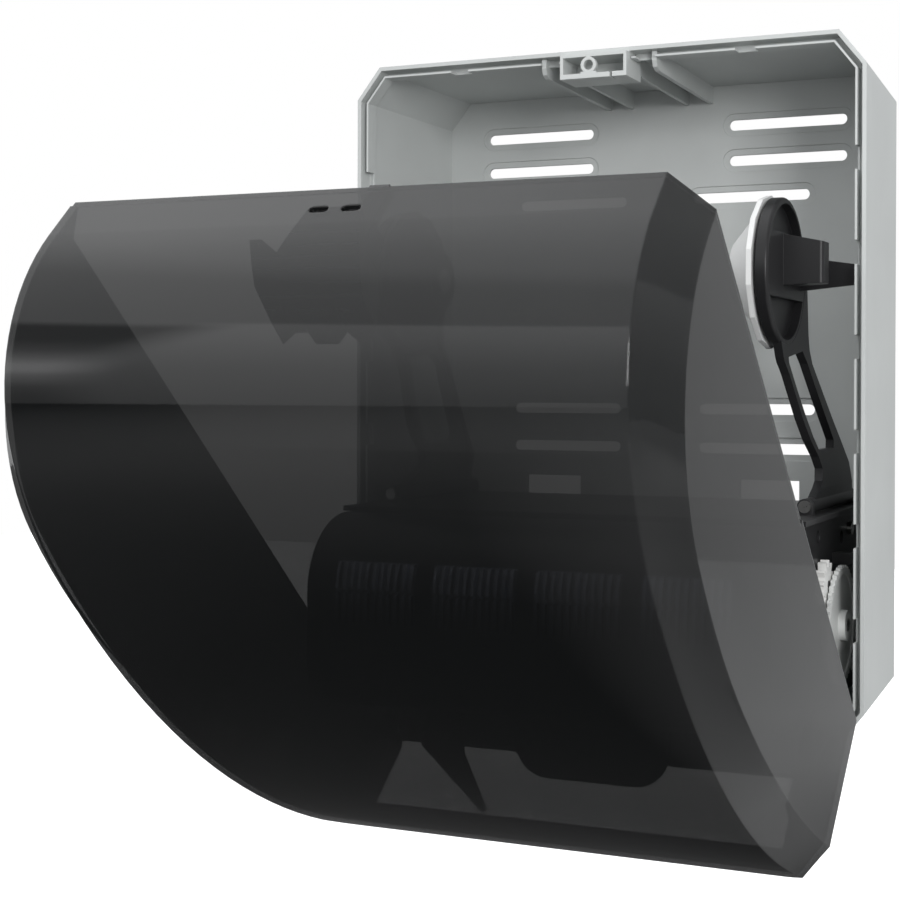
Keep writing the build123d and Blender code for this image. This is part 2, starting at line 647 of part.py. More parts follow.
def rim_clearance():
    """The region that would cross the housing's rim while the cover opens."""
    turn = math.radians(COVER_OPEN)
    reach = HINGE_FORWARD - HINGE_CLEARANCE
    far = reach + EAR_REACH
    # Its corners beside the open cover's hinge, turned back to the closed cover
    outline = []
    for y, z in ((reach, reach), (reach, -far), (far, -far), (far, reach)):
        outline.append((HINGE_Y + y * math.cos(turn) + z * math.sin(turn),
                        HINGE_Z - y * math.sin(turn) + z * math.cos(turn)))
    return plate_x(-HALF_WIDTH, HALF_WIDTH, outline)


def hinge_ear(side):
    """An ear inside the cover's lower corner, with the pin hole and the heel that stops it."""
    x0, x1 = sorted((side * EAR_INSIDE, side * (EAR_INSIDE + EAR_THICKNESS)))
    front = HINGE_Y - EAR_REACH
    floor = -HALF_HEIGHT + COVER_FLOOR_SLOPE * EAR_REACH
    arm = [(HINGE_Y, HINGE_Z + EAR_RADIUS), (front, HINGE_Z + EAR_RADIUS), (front, floor + 1),
           (front + EAR_TOE, floor), (HINGE_Y, HINGE_Z - EAR_RADIUS)]
    ear = plate_x(x0, x1, arm) + rod_x(EAR_RADIUS, x0, x1, HINGE_Y, HINGE_Z)
    # The heel points back and down when the cover is closed, and level when it is open
    heel = Pos((x0 + x1) / 2, HINGE_Y + HEEL_LENGTH / 2, HINGE_Z) * Box(x1 - x0, HEEL_LENGTH, HEEL_HEIGHT)
    ear += heel.rotate(HINGE_AXIS, -COVER_OPEN)
    gusset_x = sorted((side * EAR_INSIDE, side * (COVER_HALF - COVER_WALL / 2)))
    gusset_z = (HINGE_Z - EAR_RADIUS, HINGE_Z + EAR_RADIUS + EAR_GUSSET)
    gusset = box(gusset_x, (front, front + EAR_GUSSET), gusset_z)
    ear += gusset & cover_solid(COVER_WALL / 2)
    return ear - rod_x(PIN_RADIUS + RUNNING, x0 - 1, x1 + 1, HINGE_Y, HINGE_Z)


def hinge_pin(side):
    inside = EAR_INSIDE - SIDE_GAP - LUG_THICKNESS
    outside = EAR_INSIDE + EAR_THICKNESS + SIDE_GAP
    pin = rod_x(PIN_RADIUS, side * inside, side * outside, HINGE_Y, HINGE_Z)
    head = rod_x(PIN_HEAD_RADIUS, side * outside, side * (outside + PIN_HEAD), HINGE_Y, HINGE_Z)
    return pin + head


def latch_place():
    """Range in X, in Y and in Z of the latch slider in the closed cover."""
    x = (LATCH_X, LATCH_X + LATCH_WIDTH)
    y = (COVER_RIM_Y - LATCH_FRONT, COVER_RIM_Y - LATCH_BACK)
    shelf = HALF_HEIGHT - HOUSING_WALL - CATCH_HEIGHT + CATCH_SHELF
    top = shelf + LATCH_CLEAR + LATCH_THICKNESS
    return x, y, (top - LATCH_BODY, top)


def lock_body():
    """The lock case hangs under the cover's top, with the latch in a pocket open below."""
    top = HALF_HEIGHT
    outline = [(x, COVER_RIM_Y + y) for x, y in LOCK_OUTLINE]
    block = Pos(0, 0, top - LOCK_HEIGHT) * extrude(make_face(Polyline(*outline, close=True)), LOCK_HEIGHT)
    block &= cover_solid(COVER_WALL + RUNNING)
    (x0, x1), (y0, y1), (z0, z1) = latch_place()
    g = RUNNING
    pocket = box((x0 - g, x1 + g), (y0 - g, COVER_RIM_Y), (z0 - LATCH_TRAVEL - LOCK_HEIGHT, z1 + g))
    key_y = COVER_RIM_Y - KEY_SLOT_Y
    keyway = box((-KEY_SLOT_X - KEYWAY_HALF, x0 + 1), (key_y - KEYWAY_HALF, key_y + KEYWAY_HALF), (z0, top))
    return block - pocket - keyway


def latch_slider():
    (x0, x1), (y0, y1), (z0, z1) = latch_place()
    body = box((x0, x1), (y0, y1), (z0, z1))
    tip = COVER_RIM_Y + LATCH_REACH
    across = (x0 + TONGUE_INSET, x1 - TONGUE_INSET)
    tongue = box(across, (y1, tip), (z1 - LATCH_THICKNESS, z1))
    nose = box(across, (tip - NOSE_LENGTH, tip), (z1 - LATCH_THICKNESS, z1 + NOSE_LIFT))
    bore = rod_z(LATCH_SPRING_RADIUS + SPRING_WIRE, z0 - 1, z0 + SPRING_POCKET, (x0 + x1) / 2, (y0 + y1) / 2)
    return body + tongue + nose - bore


def latch_plate():
    """The plate that closes the pocket from below and carries the latch spring."""
    (x0, x1), (y0, y1), (z0, z1) = latch_place()
    low = z0 - LATCH_TRAVEL - LATCH_PLATE_GAP
    return box((x0 + RUNNING, x1 - RUNNING), (y0, y1), (low - LATCH_PLATE, low))


def coil(radius, wire, turns, length):
    """A wound spring along +Z from the origin, as one tube on quarter-turn biarcs."""
    pitch = length / turns
    steps = 4 * turns
    edges = []

    def at(i):
        a = i * math.pi / 2
        return Vector(radius * math.cos(a), radius * math.sin(a), i * pitch / 4)

    def direction(i):
        a = i * math.pi / 2
        return Vector(-math.sin(a), math.cos(a), pitch / (2 * math.pi * radius)).normalized()

    for i in range(steps):
        p1, p2, t1, t2 = at(i), at(i + 1), direction(i), direction(i + 1)
        v = p2 - p1
        a = 2 * (t1.dot(t2) - 1)
        b = -2 * v.dot(t1 + t2)
        d = (-b - math.sqrt(b * b - 4 * a * v.dot(v))) / (2 * a)
        middle = (p1 + p2 + (t1 - t2) * d) * 0.5
        edges.append(TangentArc(p1, middle, tangent=t1))
        edges.append(TangentArc(p2, middle, tangent=t2 * -1))
    points = [edge @ part for edge in edges for part in (0.0, 0.5)]
    far = 3 * len(points) // (4 * turns)
    least = min((a - b).length for i, a in enumerate(points) for b in points[i + far:])
    print(f"spring of {turns} turns: least gap to itself {least - 2 * wire:.2f} mm")
    return sweep(Plane(origin=at(0), z_dir=direction(0)) * Circle(wire), path=Wire(edges))


def latch_spring():
    (x0, x1), (y0, y1), (z0, z1) = latch_place()
    low = z0 - LATCH_TRAVEL - LATCH_PLATE_GAP + SPRING_WIRE
    length = z0 + SPRING_POCKET - SPRING_WIRE - low
    spring = coil(LATCH_SPRING_RADIUS, SPRING_WIRE / 2, LATCH_SPRING_TURNS, length)
    return Pos((x0 + x1) / 2, (y0 + y1) / 2, low) * spring


def module_outline(inset=0.0):
    """Side outline of the mechanism module in Y and Z, rounded at its front corners."""
    front, rear = MODULE_FRONT + inset, MODULE_REAR
    top, low = MODULE_TOP - inset, MODULE_BOTTOM + inset
    big, small = MODULE_TOP_RADIUS - inset, MODULE_LOW_RADIUS - inset
    nook = 1 - math.sqrt(0.5)
    return make_face(Curve() + [
        Line((rear, low), (rear, top)),
        Line((rear, top), (front + big, top)),
        ThreePointArc((front + big, top), (front + big * nook, top - big * nook), (front, top - big)),
        Line((front, top - big), (front, low + small)),
        ThreePointArc((front, low + small), (front + small * nook, low + small * nook),
                      (front + small, low)),
        Line((front + small, low), (rear, low)),
    ])


def side_plate(side):
    x = PLATE_INSIDE if side > 0 else -PLATE_OUTSIDE
    plate = extrude(side_plane(x) * module_outline(), PLATE_THICKNESS)
    holes = [(BUSH_RADIUS, DRUM_Y, DRUM_Z), (ROLLER_SHAFT_RADIUS + RUNNING, ROLLER_Y, DRUM_Z)]
    holes += [(SCREW_RADIUS, y, z) for y, z in TIE_PLACES]
    holes += [(PLATE_HOLE_RADIUS, y, z) for y, z in PLATE_HOLE_PLACES]
    if side > 0:
        holes.append((SCREW_RADIUS, DAMPER_Y, DAMPER_Z))
        plate -= guard_bar(x - 1, x + PLATE_THICKNESS + 1)
    else:
        holes.append((STOP_PIN_RADIUS, *stop_pivot()))
        holes.append((POST_RADIUS, POST_Y, POST_Z))
    return plate - [rod_x(r, x - 1, x + PLATE_THICKNESS + 1, y, z) for r, y, z in holes]


def guard_bar(x0, x1):
    return box((x0, x1), (GUARD_Y, GUARD_Y + GUARD_SIZE), (GUARD_Z, GUARD_Z + GUARD_SIZE))


def front_guide():
    """The ribbed front of the module, from its top edge round to the paper exit."""
    half = PLATE_INSIDE
    inner = extrude(side_plane(-half - 1) * module_outline(GUIDE_WALL), 2 * half + 2)
    wall = extrude(side_plane(-half) * module_outline(), 2 * half) - inner
    wall &= box((-half, half), (MODULE_FRONT - 1, SHELF_FRONT), (MODULE_BOTTOM - 1, MODULE_TOP + 1))
    wall -= box((-half - 1, half + 1), (EXIT_FRONT, SHELF_FRONT + 1),
                (MODULE_BOTTOM - 1, MODULE_BOTTOM + GUIDE_WALL + 1))
    # Groups of upright ribs in two rows
    front = (MODULE_FRONT - RIB_HEIGHT - 1, MODULE_FRONT + MODULE_TOP_RADIUS)
    rows = [(RIB_BREAK, RIB_TOP), (RIB_BOTTOM, RIB_BREAK - RIB_GAP)]
    profile = extrude(side_plane(-RIB_THICKNESS / 2) * module_outline(-RIB_HEIGHT), RIB_THICKNESS) - inner
    pieces = [profile & box((-RIB_THICKNESS, RIB_THICKNESS), front, row) for row in rows]
    for group in range(RIB_GROUPS):
        middle = (group - (RIB_GROUPS - 1) / 2) * RIB_GROUP_PITCH
        for i in range(RIBS_PER_GROUP):
            x = middle + (i - (RIBS_PER_GROUP - 1) / 2) * RIB_PITCH
            wall += [Pos(x, 0, 0) * piece for piece in pieces]
    return wall


def arm_lug(side, y):
    """A lug on the shelf that holds one end of an arm's foot pin."""
    x = side * FOOT_X
    lug = box((x - FOOT_RADIUS, x + FOOT_RADIUS), (y, y + LUG_WIDTH),
              (MODULE_TOP + SHELF_THICKNESS / 2, FOOT_Z))
    lug += rod_y(FOOT_RADIUS, y, y + LUG_WIDTH, x, FOOT_Z)
    return lug - rod_y(FOOT_PIN_RADIUS, y - 1, y + LUG_WIDTH + 1, x, FOOT_Z)


def top_shelf():
    """The flat top of the module, wider than the side plates, with the lugs of both arms."""
    half = PLATE_OUTSIDE + SHELF_REACH
    shelf = box((-half, half), (SHELF_FRONT, MODULE_REAR), (MODULE_TOP, MODULE_TOP + SHELF_THICKNESS))
    for side in (-1, 1):
        for y in (FOOT_FRONT - SIDE_GAP - LUG_WIDTH, FOOT_REAR + SIDE_GAP):
            shelf += arm_lug(side, y)
    return shelf


def rear_plate():
    plate = box((-PLATE_INSIDE, PLATE_INSIDE), (MODULE_REAR - REAR_PLATE, MODULE_REAR),
                (MODULE_BOTTOM, MODULE_TOP))
    plate -= box((-REAR_WINDOW_HALF, REAR_WINDOW_HALF), (MODULE_REAR - REAR_PLATE - 1, MODULE_REAR + 1),
                 (MODULE_SCREWS_Z[1], MODULE_SCREWS_Z[0]))
    places = module_screw_places()
    return plate - [rod_y(SCREW_RADIUS, y - REAR_PLATE - 1, y + 1, x, z) for x, y, z in places]


def module_screws():
    """Slotted screws through the rear plate into the bosses on the back wall."""
    face = MODULE_REAR - REAR_PLATE
    screws = []
    for x, y, z in module_screw_places():
        screw = rod_y(SCREW_RADIUS, face, -BACK_WALL, x, z)
        screw += rod_y(SCREW_HEAD_RADIUS, face - SCREW_HEAD, face, x, z)
        slot = box((x - SCREW_HEAD_RADIUS, x + SCREW_HEAD_RADIUS),
                   (face - SCREW_HEAD - 1, face - SCREW_HEAD / 2),
                   (z - SCREW_RADIUS / 4, z + SCREW_RADIUS / 4))
        screws.append(screw - slot)
    return together(screws)


def tie_rods():
    """Cross rods that hold the side plates apart, tapped for a screw at each end."""
    rods = []
    for y, z in TIE_PLACES:
        rod = rod_x(TIE_RADIUS, -PLATE_INSIDE, PLATE_INSIDE, y, z)
        for side in (-1, 1):
            rod -= rod_x(SCREW_RADIUS, side * (PLATE_OUTSIDE - SCREW_LENGTH), side * PLATE_OUTSIDE, y, z)
        rods.append(rod)
    return together(rods)


def tie_screws():
    screws = []
    for side in (-1, 1):
        for y, z in TIE_PLACES:
            shank = rod_x(SCREW_RADIUS, side * (PLATE_OUTSIDE - SCREW_LENGTH), side * PLATE_OUTSIDE, y, z)
            head = rod_x(SCREW_HEAD_RADIUS, side * PLATE_OUTSIDE, side * (PLATE_OUTSIDE + SCREW_HEAD), y, z)
            screws.append(shank + head)
    return together(screws)


def wheel_guard():
    """A square bar through the right plate that stands over the gear and the hand wheel."""
    return guard_bar(PLATE_INSIDE, PLATE_INSIDE + GUARD_LENGTH)


def feed_drum():
    """The cutting drum: a hollow cylinder between two end walls, slotted for the blade."""
    half = DRUM_LENGTH / 2
    drum = rod_x(DRUM_RADIUS, -half, half, DRUM_Y, DRUM_Z)
    drum -= rod_x(DRUM_RADIUS - DRUM_WALL, DRUM_WALL - half, half - DRUM_WALL, DRUM_Y, DRUM_Z)
    drum -= drum_slot(half - DRUM_WALL)
    drum -= rod_x(KNIFE_PIN_RADIUS + RUNNING, -half - 1, half + 1, DRUM_Y, KNIFE_Z)
    return drum - rod_x(SHAFT_RADIUS, -half - 1, half + 1, DRUM_Y, DRUM_Z)


def drum_slot(half):
    near, far = DRUM_SLOT
    return box((-half, half), (DRUM_Y + near, DRUM_Y + far), (KNIFE_Z, DRUM_Z + DRUM_RADIUS + 2))


def grip_bands():
    """Rubber bands round the drum that pull the paper, broken at the knife slot."""
    bands = []
    for i in range(BAND_COUNT):
        x = (i - (BAND_COUNT - 1) / 2) * BAND_PITCH
        band = rod_x(DRUM_RADIUS + BAND_HEIGHT, x - BAND_WIDTH / 2, x + BAND_WIDTH / 2, DRUM_Y, DRUM_Z)
        band -= rod_x(DRUM_RADIUS, x - BAND_WIDTH, x + BAND_WIDTH, DRUM_Y, DRUM_Z)
        bands.append(band - drum_slot(DRUM_LENGTH))
    return together(bands)


def drum_shaft():
    return rod_x(SHAFT_RADIUS, -CRANK_FACE, WHEEL_INSIDE + WHEEL_WIDTH + WHEEL_HUB, DRUM_Y, DRUM_Z)


def shaft_bushes():
    """Flanged bushes in the side plates that carry the drum shaft."""
    bushes = []
    for side in (-1, 1):
        inside = side * (PLATE_INSIDE - BUSH_FLANGE_THICKNESS)
        bush = rod_x(BUSH_RADIUS, inside, side * PLATE_OUTSIDE, DRUM_Y, DRUM_Z)
        bush += rod_x(BUSH_FLANGE, inside, side * PLATE_INSIDE, DRUM_Y, DRUM_Z)
        bore = rod_x(SHAFT_RADIUS + RUNNING, inside - side, side * (PLATE_OUTSIDE + 1), DRUM_Y, DRUM_Z)
        bushes.append(bush - bore)
    return together(bushes)


def knife_turned(shape):
    return shape.rotate(Axis((0, DRUM_Y, KNIFE_Z), (1, 0, 0)), -KNIFE_TILT)


def knife_carrier():
    """A bar on stub pins inside the drum, with the arm that holds the blade."""
    half = BLADE_LENGTH / 2
    bar = rod_x(KNIFE_RADIUS, -half, half, DRUM_Y, KNIFE_Z)
    bar += rod_x(KNIFE_PIN_RADIUS, -DRUM_LENGTH / 2, DRUM_LENGTH / 2, DRUM_Y, KNIFE_Z)
    holder = box((-half, half), (DRUM_Y - KNIFE_PIN_RADIUS, DRUM_Y), (KNIFE_Z, KNIFE_Z + KNIFE_HOLDER))
    seat = box((-half, half), (DRUM_Y, DRUM_Y + KNIFE_RADIUS),
               (KNIFE_Z + KNIFE_RADIUS / 2, KNIFE_Z + KNIFE_HOLDER))
    return knife_turned(bar + holder - seat)


def knife_blade():
    """A thin steel blade with a row of pointed teeth along its free edge."""
    low = KNIFE_Z + BLADE_GRIP
    tip = KNIFE_Z + BLADE_REACH
    count = int(BLADE_LENGTH / BLADE_TOOTH)
    start = -count * BLADE_TOOTH / 2
    points = [(-start, low), (start, low), (start, tip - BLADE_TOOTH_HEIGHT)]
    for i in range(count):
        x = start + i * BLADE_TOOTH
        points.append((x + BLADE_TOOTH / 2, tip))
        points.append((x + BLADE_TOOTH, tip - BLADE_TOOTH_HEIGHT))
    blade = make_face(Polyline(*points, close=True))
    return knife_turned(extrude(front_plane(DRUM_Y + BLADE_THICKNESS) * blade, BLADE_THICKNESS))


def pinch_roller():
    half = ROLLER_LENGTH / 2
    end = PLATE_FACE + CLIP_THICKNESS
    core = rod_x(ROLLER_RADIUS - SLEEVE_WALL, -half, half, ROLLER_Y, DRUM_Z)
    return core + rod_x(ROLLER_SHAFT_RADIUS, -end, end, ROLLER_Y, DRUM_Z)


def roller_sleeves():
    """Rubber sleeves on the pinch roller, one against each band of the drum."""
    sleeves = []
    for i in range(BAND_COUNT):
        x = (i - (BAND_COUNT - 1) / 2) * BAND_PITCH
        sleeve = rod_x(ROLLER_RADIUS, x - SLEEVE_WIDTH / 2, x + SLEEVE_WIDTH / 2, ROLLER_Y, DRUM_Z)
        bore = rod_x(ROLLER_RADIUS - SLEEVE_WALL, x - SLEEVE_WIDTH, x + SLEEVE_WIDTH, ROLLER_Y, DRUM_Z)
        sleeves.append(sleeve - bore)
    return together(sleeves)


def roller_clips():
    """Push-on clips that keep the roller shaft in the side plates."""
    clips = []
    for side in (-1, 1):
        x0, x1 = side * (PLATE_OUTSIDE + STOP_GAP), side * (PLATE_OUTSIDE + STOP_GAP + CLIP_THICKNESS)
        clip = rod_x(CLIP_RADIUS, x0, x1, ROLLER_Y, DRUM_Z)
        clips.append(clip - rod_x(ROLLER_SHAFT_RADIUS, x0 - side, x1 + side, ROLLER_Y, DRUM_Z))
    return together(clips)


def gear(teeth, x, y, z, bore, phase=0.0):
    """A spur gear with straight-sided teeth, square to X."""
    pitch = GEAR_MODULE * teeth / 2
    tip = pitch + GEAR_TIP * GEAR_MODULE
    root = pitch - GEAR_ROOT * GEAR_MODULE
    points = []
    for i in range(teeth):
        for radius, part in ((root, -ROOT_HALF), (tip, -TIP_HALF), (tip, TIP_HALF), (root, ROOT_HALF)):
            turn = 2 * math.pi * (i + part) / teeth + phase
            points.append((y + radius * math.cos(turn), z + radius * math.sin(turn)))
    return plate_x(x, x + GEAR_WIDTH, points) - rod_x(bore, x - 1, x + GEAR_WIDTH + 1, y, z)


def drum_gear():
    """The white gear on the drum shaft, thinned between rim and hub and pierced there."""
    outside = PLATE_FACE + GEAR_WIDTH + 1
    inner, outer = GEAR_RING
    middle = (inner + outer) / 2
    thinned = rod_x(outer, PLATE_FACE + GEAR_WEB, outside, DRUM_Y, DRUM_Z)
    thinned -= rod_x(inner, PLATE_FACE, outside + 1, DRUM_Y, DRUM_Z)
    body = gear(DRUM_TEETH, PLATE_FACE, DRUM_Y, DRUM_Z, SHAFT_RADIUS) - thinned
    hole = rod_x(GEAR_HOLE_RADIUS, PLATE_FACE - 1, outside, DRUM_Y, DRUM_Z + middle)
    return body - [hole.rotate(DRUM_AXIS, i * 360 / GEAR_HOLES) for i in range(GEAR_HOLES)]


def hand_wheel():
    """The thin toothed wheel at the right, turned by hand to start a new roll."""
    x = WHEEL_INSIDE
    points = []
    for i in range(WHEEL_TEETH):
        for radius, part in ((WHEEL_RADIUS - WHEEL_TOOTH, 0.0), (WHEEL_RADIUS, 0.3), (WHEEL_RADIUS, 0.6),
                             (WHEEL_RADIUS - WHEEL_TOOTH, 0.9)):
            turn = 2 * math.pi * (i + part) / WHEEL_TEETH
            points.append((DRUM_Y + radius * math.cos(turn), DRUM_Z + radius * math.sin(turn)))
    wheel = plate_x(x, x + WHEEL_WIDTH, points)
    dish = rod_x(WHEEL_RADIUS - WHEEL_RIM, x + WHEEL_WEB, x + WHEEL_WIDTH + 1, DRUM_Y, DRUM_Z)
    hub = rod_x(WHEEL_HUB_RADIUS, x - PLATE_GAP, x + WHEEL_WIDTH + WHEEL_HUB, DRUM_Y, DRUM_Z)
    bore = rod_x(SHAFT_RADIUS, x - PLATE_GAP - 1, x + WHEEL_WIDTH + WHEEL_HUB + 1, DRUM_Y, DRUM_Z)
    return wheel - dish + hub - bore


def damper():
    """A rotary damper inside the right plate that slows the drum's last turn."""
    case = rod_x(DAMPER_RADIUS, PLATE_INSIDE - DAMPER_DEPTH, PLATE_INSIDE, DAMPER_Y, DAMPER_Z)
    return case + rod_x(SCREW_RADIUS, PLATE_INSIDE, PLATE_FACE + GEAR_WIDTH + STOP_GAP, DAMPER_Y, DAMPER_Z)


def damper_pinion():
    # A gap of the pinion faces the drum gear's tooth that is nearest to the line of centres
    tooth = 2 * math.pi / DRUM_TEETH
    lead = round(MESH_TURN / tooth) * tooth - MESH_TURN
    phase = MESH_TURN + math.pi - lead * DRUM_TEETH / PINION_TEETH + math.pi / PINION_TEETH
    return gear(PINION_TEETH, PLATE_FACE, DAMPER_Y, DAMPER_Z, SCREW_RADIUS + RUNNING, phase)


def crank_disc():
    """The disc at the left end of the drum shaft, with the stop notch and the crank pin."""
    disc = rod_x(CRANK_RADIUS, -CRANK_FACE, -PLATE_FACE, DRUM_Y, DRUM_Z)
    disc -= rod_x(SHAFT_RADIUS, -CRANK_FACE - 1, -PLATE_FACE + 1, DRUM_Y, DRUM_Z)
    disc -= rod_x(NOTCH_RADIUS, -CRANK_FACE - 1, -PLATE_FACE + 1, *around_drum(CRANK_RADIUS))
    return disc + rod_x(CRANK_PIN_RADIUS, -CRANK_FACE - CRANK_PIN, -CRANK_FACE, DRUM_Y + CRANK_THROW, DRUM_Z)


def around_drum(radius):
    """The place in Y and Z at the stop's angle and a given distance from the drum shaft."""
    turn = math.radians(STOP_ANGLE)
    return DRUM_Y + radius * math.cos(turn), DRUM_Z + radius * math.sin(turn)


def stop_roller_place():
    return around_drum(CRANK_RADIUS + STOP_ROLLER_RADIUS + SIDE_GAP)


def stop_pivot():
    """The pivot stands square to the line from the drum shaft to the stop's roller."""
    turn = math.radians(STOP_ANGLE)
    y, z = stop_roller_place()
    return y + STOP_LENGTH * math.sin(turn), z - STOP_LENGTH * math.cos(turn)


def spring_post():
    post = rod_x(POST_RADIUS, -CRANK_FACE - CRANK_PIN, -PLATE_INSIDE, POST_Y, POST_Z)
    collar = POST_RADIUS + POST_COLLAR
    return post + rod_x(collar, -PLATE_OUTSIDE - PLATE_GAP, -PLATE_OUTSIDE, POST_Y, POST_Z)


def drum_spring():
    """The extension spring from the crank pin to its post, with a ring at each end."""
    x = -CRANK_FACE - SPRING_OFFSET
    pin = Vector(x, DRUM_Y + CRANK_THROW, DRUM_Z)
    post = Vector(x, POST_Y, POST_Z)
    along = (post - pin).normalized()
    wire = SPRING_COIL_WIRE
    ring = CRANK_PIN_RADIUS + wire / 2 + 3 * RUNNING
    end = 2 * ring + wire
    start = pin + along * end
    stop = post - along * end
    winding = coil(SPRING_RADIUS - wire / 2, wire / 2, SPRING_TURNS, (stop - start).length)
    spring = Plane(origin=start, x_dir=(1, 0, 0), z_dir=along) * winding
    for centre, level, toward in ((pin, start, along), (post, stop, along * -1)):
        spring += Plane(origin=centre, z_dir=(1, 0, 0)) * Torus(ring, wire / 2)
        neck = (level - centre).length - ring + wire / 2
        spring += Plane(origin=centre + toward * (ring + neck / 2), z_dir=along) * Cylinder(wire / 2, neck)
        bar = Rot(0, 90, 0) * Cylinder(wire / 2, 2 * SPRING_RADIUS - wire)
        spring += Plane(origin=level, x_dir=(1, 0, 0), z_dir=along) * bar
    return spring


def round_bar(first, second):
    """A bar outline in Y and Z with two round ends, each given as Y, Z and radius."""
    y1, z1, r1 = first
    y2, z2, r2 = second
    line = math.atan2(z2 - z1, y2 - y1)
    lean = math.acos((r1 - r2) / math.hypot(y2 - y1, z2 - z1))
    corners = []
    for y, z, r, side in ((y1, z1, r1, 1), (y2, z2, r2, 1), (y2, z2, r2, -1), (y1, z1, r1, -1)):
        corners.append((y + r * math.cos(line + side * lean), z + r * math.sin(line + side * lean)))
    tip = (y2 + r2 * math.cos(line), z2 + r2 * math.sin(line))
    back = (y1 - r1 * math.cos(line), z1 - r1 * math.sin(line))
    edges = [Line(corners[0], corners[1]), ThreePointArc(corners[1], tip, corners[2]),
             Line(corners[2], corners[3]), ThreePointArc(corners[3], back, corners[0])]
    return make_face(Curve() + edges)


def stop_lever():
    """The lever whose roller end drops into the disc's notch when a sheet has been cut."""
    y, z = stop_pivot()
    roller_y, roller_z = stop_roller_place()
    pivot = (y, z, STOP_ROLLER_RADIUS)
    plane = side_plane(-CRANK_FACE)
    arm = extrude(plane * round_bar(pivot, (roller_y, roller_z, STOP_ARM_RADIUS)), CRANK_THICKNESS)
    tail = (y + STOP_TAIL[0], z + STOP_TAIL[1], STOP_ARM_RADIUS)
    arm += extrude(plane * round_bar(pivot, tail), CRANK_THICKNESS)
    arm += rod_x(STOP_ROLLER_RADIUS, -CRANK_FACE, -PLATE_FACE, roller_y, roller_z)
    return arm - rod_x(STOP_PIN_RADIUS + RUNNING, -CRANK_FACE - 1, -PLATE_FACE + 1, y, z)


def stop_pin():
    """The headed pin in the left plate that the stop lever turns on."""
    y, z = stop_pivot()
    head = -CRANK_FACE - SIDE_GAP
    pin = rod_x(STOP_PIN_RADIUS, head, -PLATE_INSIDE, y, z)
    pin += rod_x(STOP_ROLLER_RADIUS, head - PIN_HEAD, head, y, z)
    return pin + rod_x(STOP_ROLLER_RADIUS - 1, -PLATE_FACE + SIDE_GAP, -PLATE_OUTSIDE, y, z)


def paper_chute():
    """The curved floor under the drum that turns the sheet down to the exit."""
    half = PLATE_INSIDE
    inner = DRUM_RADIUS + CHUTE_GAP
    outer = inner + CHUTE_WALL
    low = DRUM_Z - outer
    ring = rod_x(outer, -half, half, DRUM_Y, DRUM_Z)
    trough = ring & box((-half, half), (TAB_Y, MODULE_REAR), (low - 1, DRUM_Z))
    deck = box((-half, half), (DRUM_Y, MODULE_REAR - REAR_PLATE), (low, low + CHUTE_WALL))
    apron = box((-half, half), (TAB_Y, TAB_Y + TAB_THICKNESS), (MODULE_BOTTOM, DRUM_Z - inner / 2))
    return trough + deck + apron - rod_x(inner, -half - 1, half + 1, DRUM_Y, DRUM_Z)


def exit_tab():
    """The rounded tongue that hangs below the module behind the paper's free end."""
    front = TAB_Y + TAB_THICKNESS
    top = MODULE_BOTTOM + TAB_GRIP
    outline = Pos(0, (top + TAB_BOTTOM) / 2) * Rectangle(TAB_WIDTH, top - TAB_BOTTOM)
    plate = extrude(front_plane(front + TAB_THICKNESS) * outline, TAB_THICKNESS)
    lower = plate.edges().filter_by(Axis.Y).sort_by(Axis.Z)[:2]
    return fillet(lower, TAB_CORNER)


def feed_lever():
    """The hanging lever left of the tab: a slim blade that widens to a pointed foot."""
    front = TAB_Y - LEVER_FORWARD
    middle = front + LEVER_THICKNESS / 2
    half = LEVER_BARREL / 2
    top = LEVER_PIVOT_Z - LEVER_PIVOT_RADIUS
    neck = top - 2 * LEVER_PIVOT_RADIUS
    (left, right), drop = LEVER_WAIST
    waist = LEVER_PIVOT_Z - drop
    foot = [(LEVER_X + x, LEVER_PIVOT_Z + z) for x, z in LEVER_FOOT]
    outline = [(LEVER_X - half, top), (LEVER_X - half, neck), (LEVER_X + left, waist), *foot,
               (LEVER_X + right, waist), (LEVER_X + half, neck), (LEVER_X + half, top)]
    face = make_face(Polyline(*outline, close=True))
    blade = extrude(front_plane(front + LEVER_THICKNESS) * face, LEVER_THICKNESS)
    x0, x1 = LEVER_X - half, LEVER_X + half
    blade += rod_x(LEVER_PIVOT_RADIUS + CHUTE_WALL, x0, x1, middle, LEVER_PIVOT_Z)
    return blade - rod_x(LEVER_PIVOT_RADIUS + RUNNING, x0 - 1, x1 + 1, middle, LEVER_PIVOT_Z)


def lever_bracket():
    """Two cheeks and a pin in front of the chute that carry the feed lever."""
    middle = TAB_Y - LEVER_FORWARD + LEVER_THICKNESS / 2
    radius = LEVER_PIVOT_RADIUS + CHUTE_WALL
    half = LEVER_BARREL / 2 + SIDE_GAP
    bracket = rod_x(LEVER_PIVOT_RADIUS, LEVER_X - half, LEVER_X + half, middle, LEVER_PIVOT_Z)
    for x in (LEVER_X - half - CHEEK_THICKNESS, LEVER_X + half):
        bracket += box((x, x + CHEEK_THICKNESS), (middle, TAB_Y),
                       (LEVER_PIVOT_Z - radius, LEVER_PIVOT_Z + radius))
        bracket += rod_x(radius, x, x + CHEEK_THICKNESS, middle, LEVER_PIVOT_Z)
    return bracket


def bent_band(outside, inside, y0, y1):
    """A slab that runs down from the hub and slants outward to the foot, outside to inside."""
    step = ARM_FOOT_OUTSIDE - ARM_OUTSIDE
    line = [(0, HUB_Z + CUP_RADIUS), (0, ARM_BEND_TOP), (step, ARM_BEND_LOW), (step, FOOT_Z - FOOT_RADIUS)]
    edge = [(outside + x, z) for x, z in line]
    edge += [(inside + x, z) for x, z in reversed(line)]
    return extrude(front_plane(y1) * make_face(Polyline(*edge, close=True)), y1 - y0)


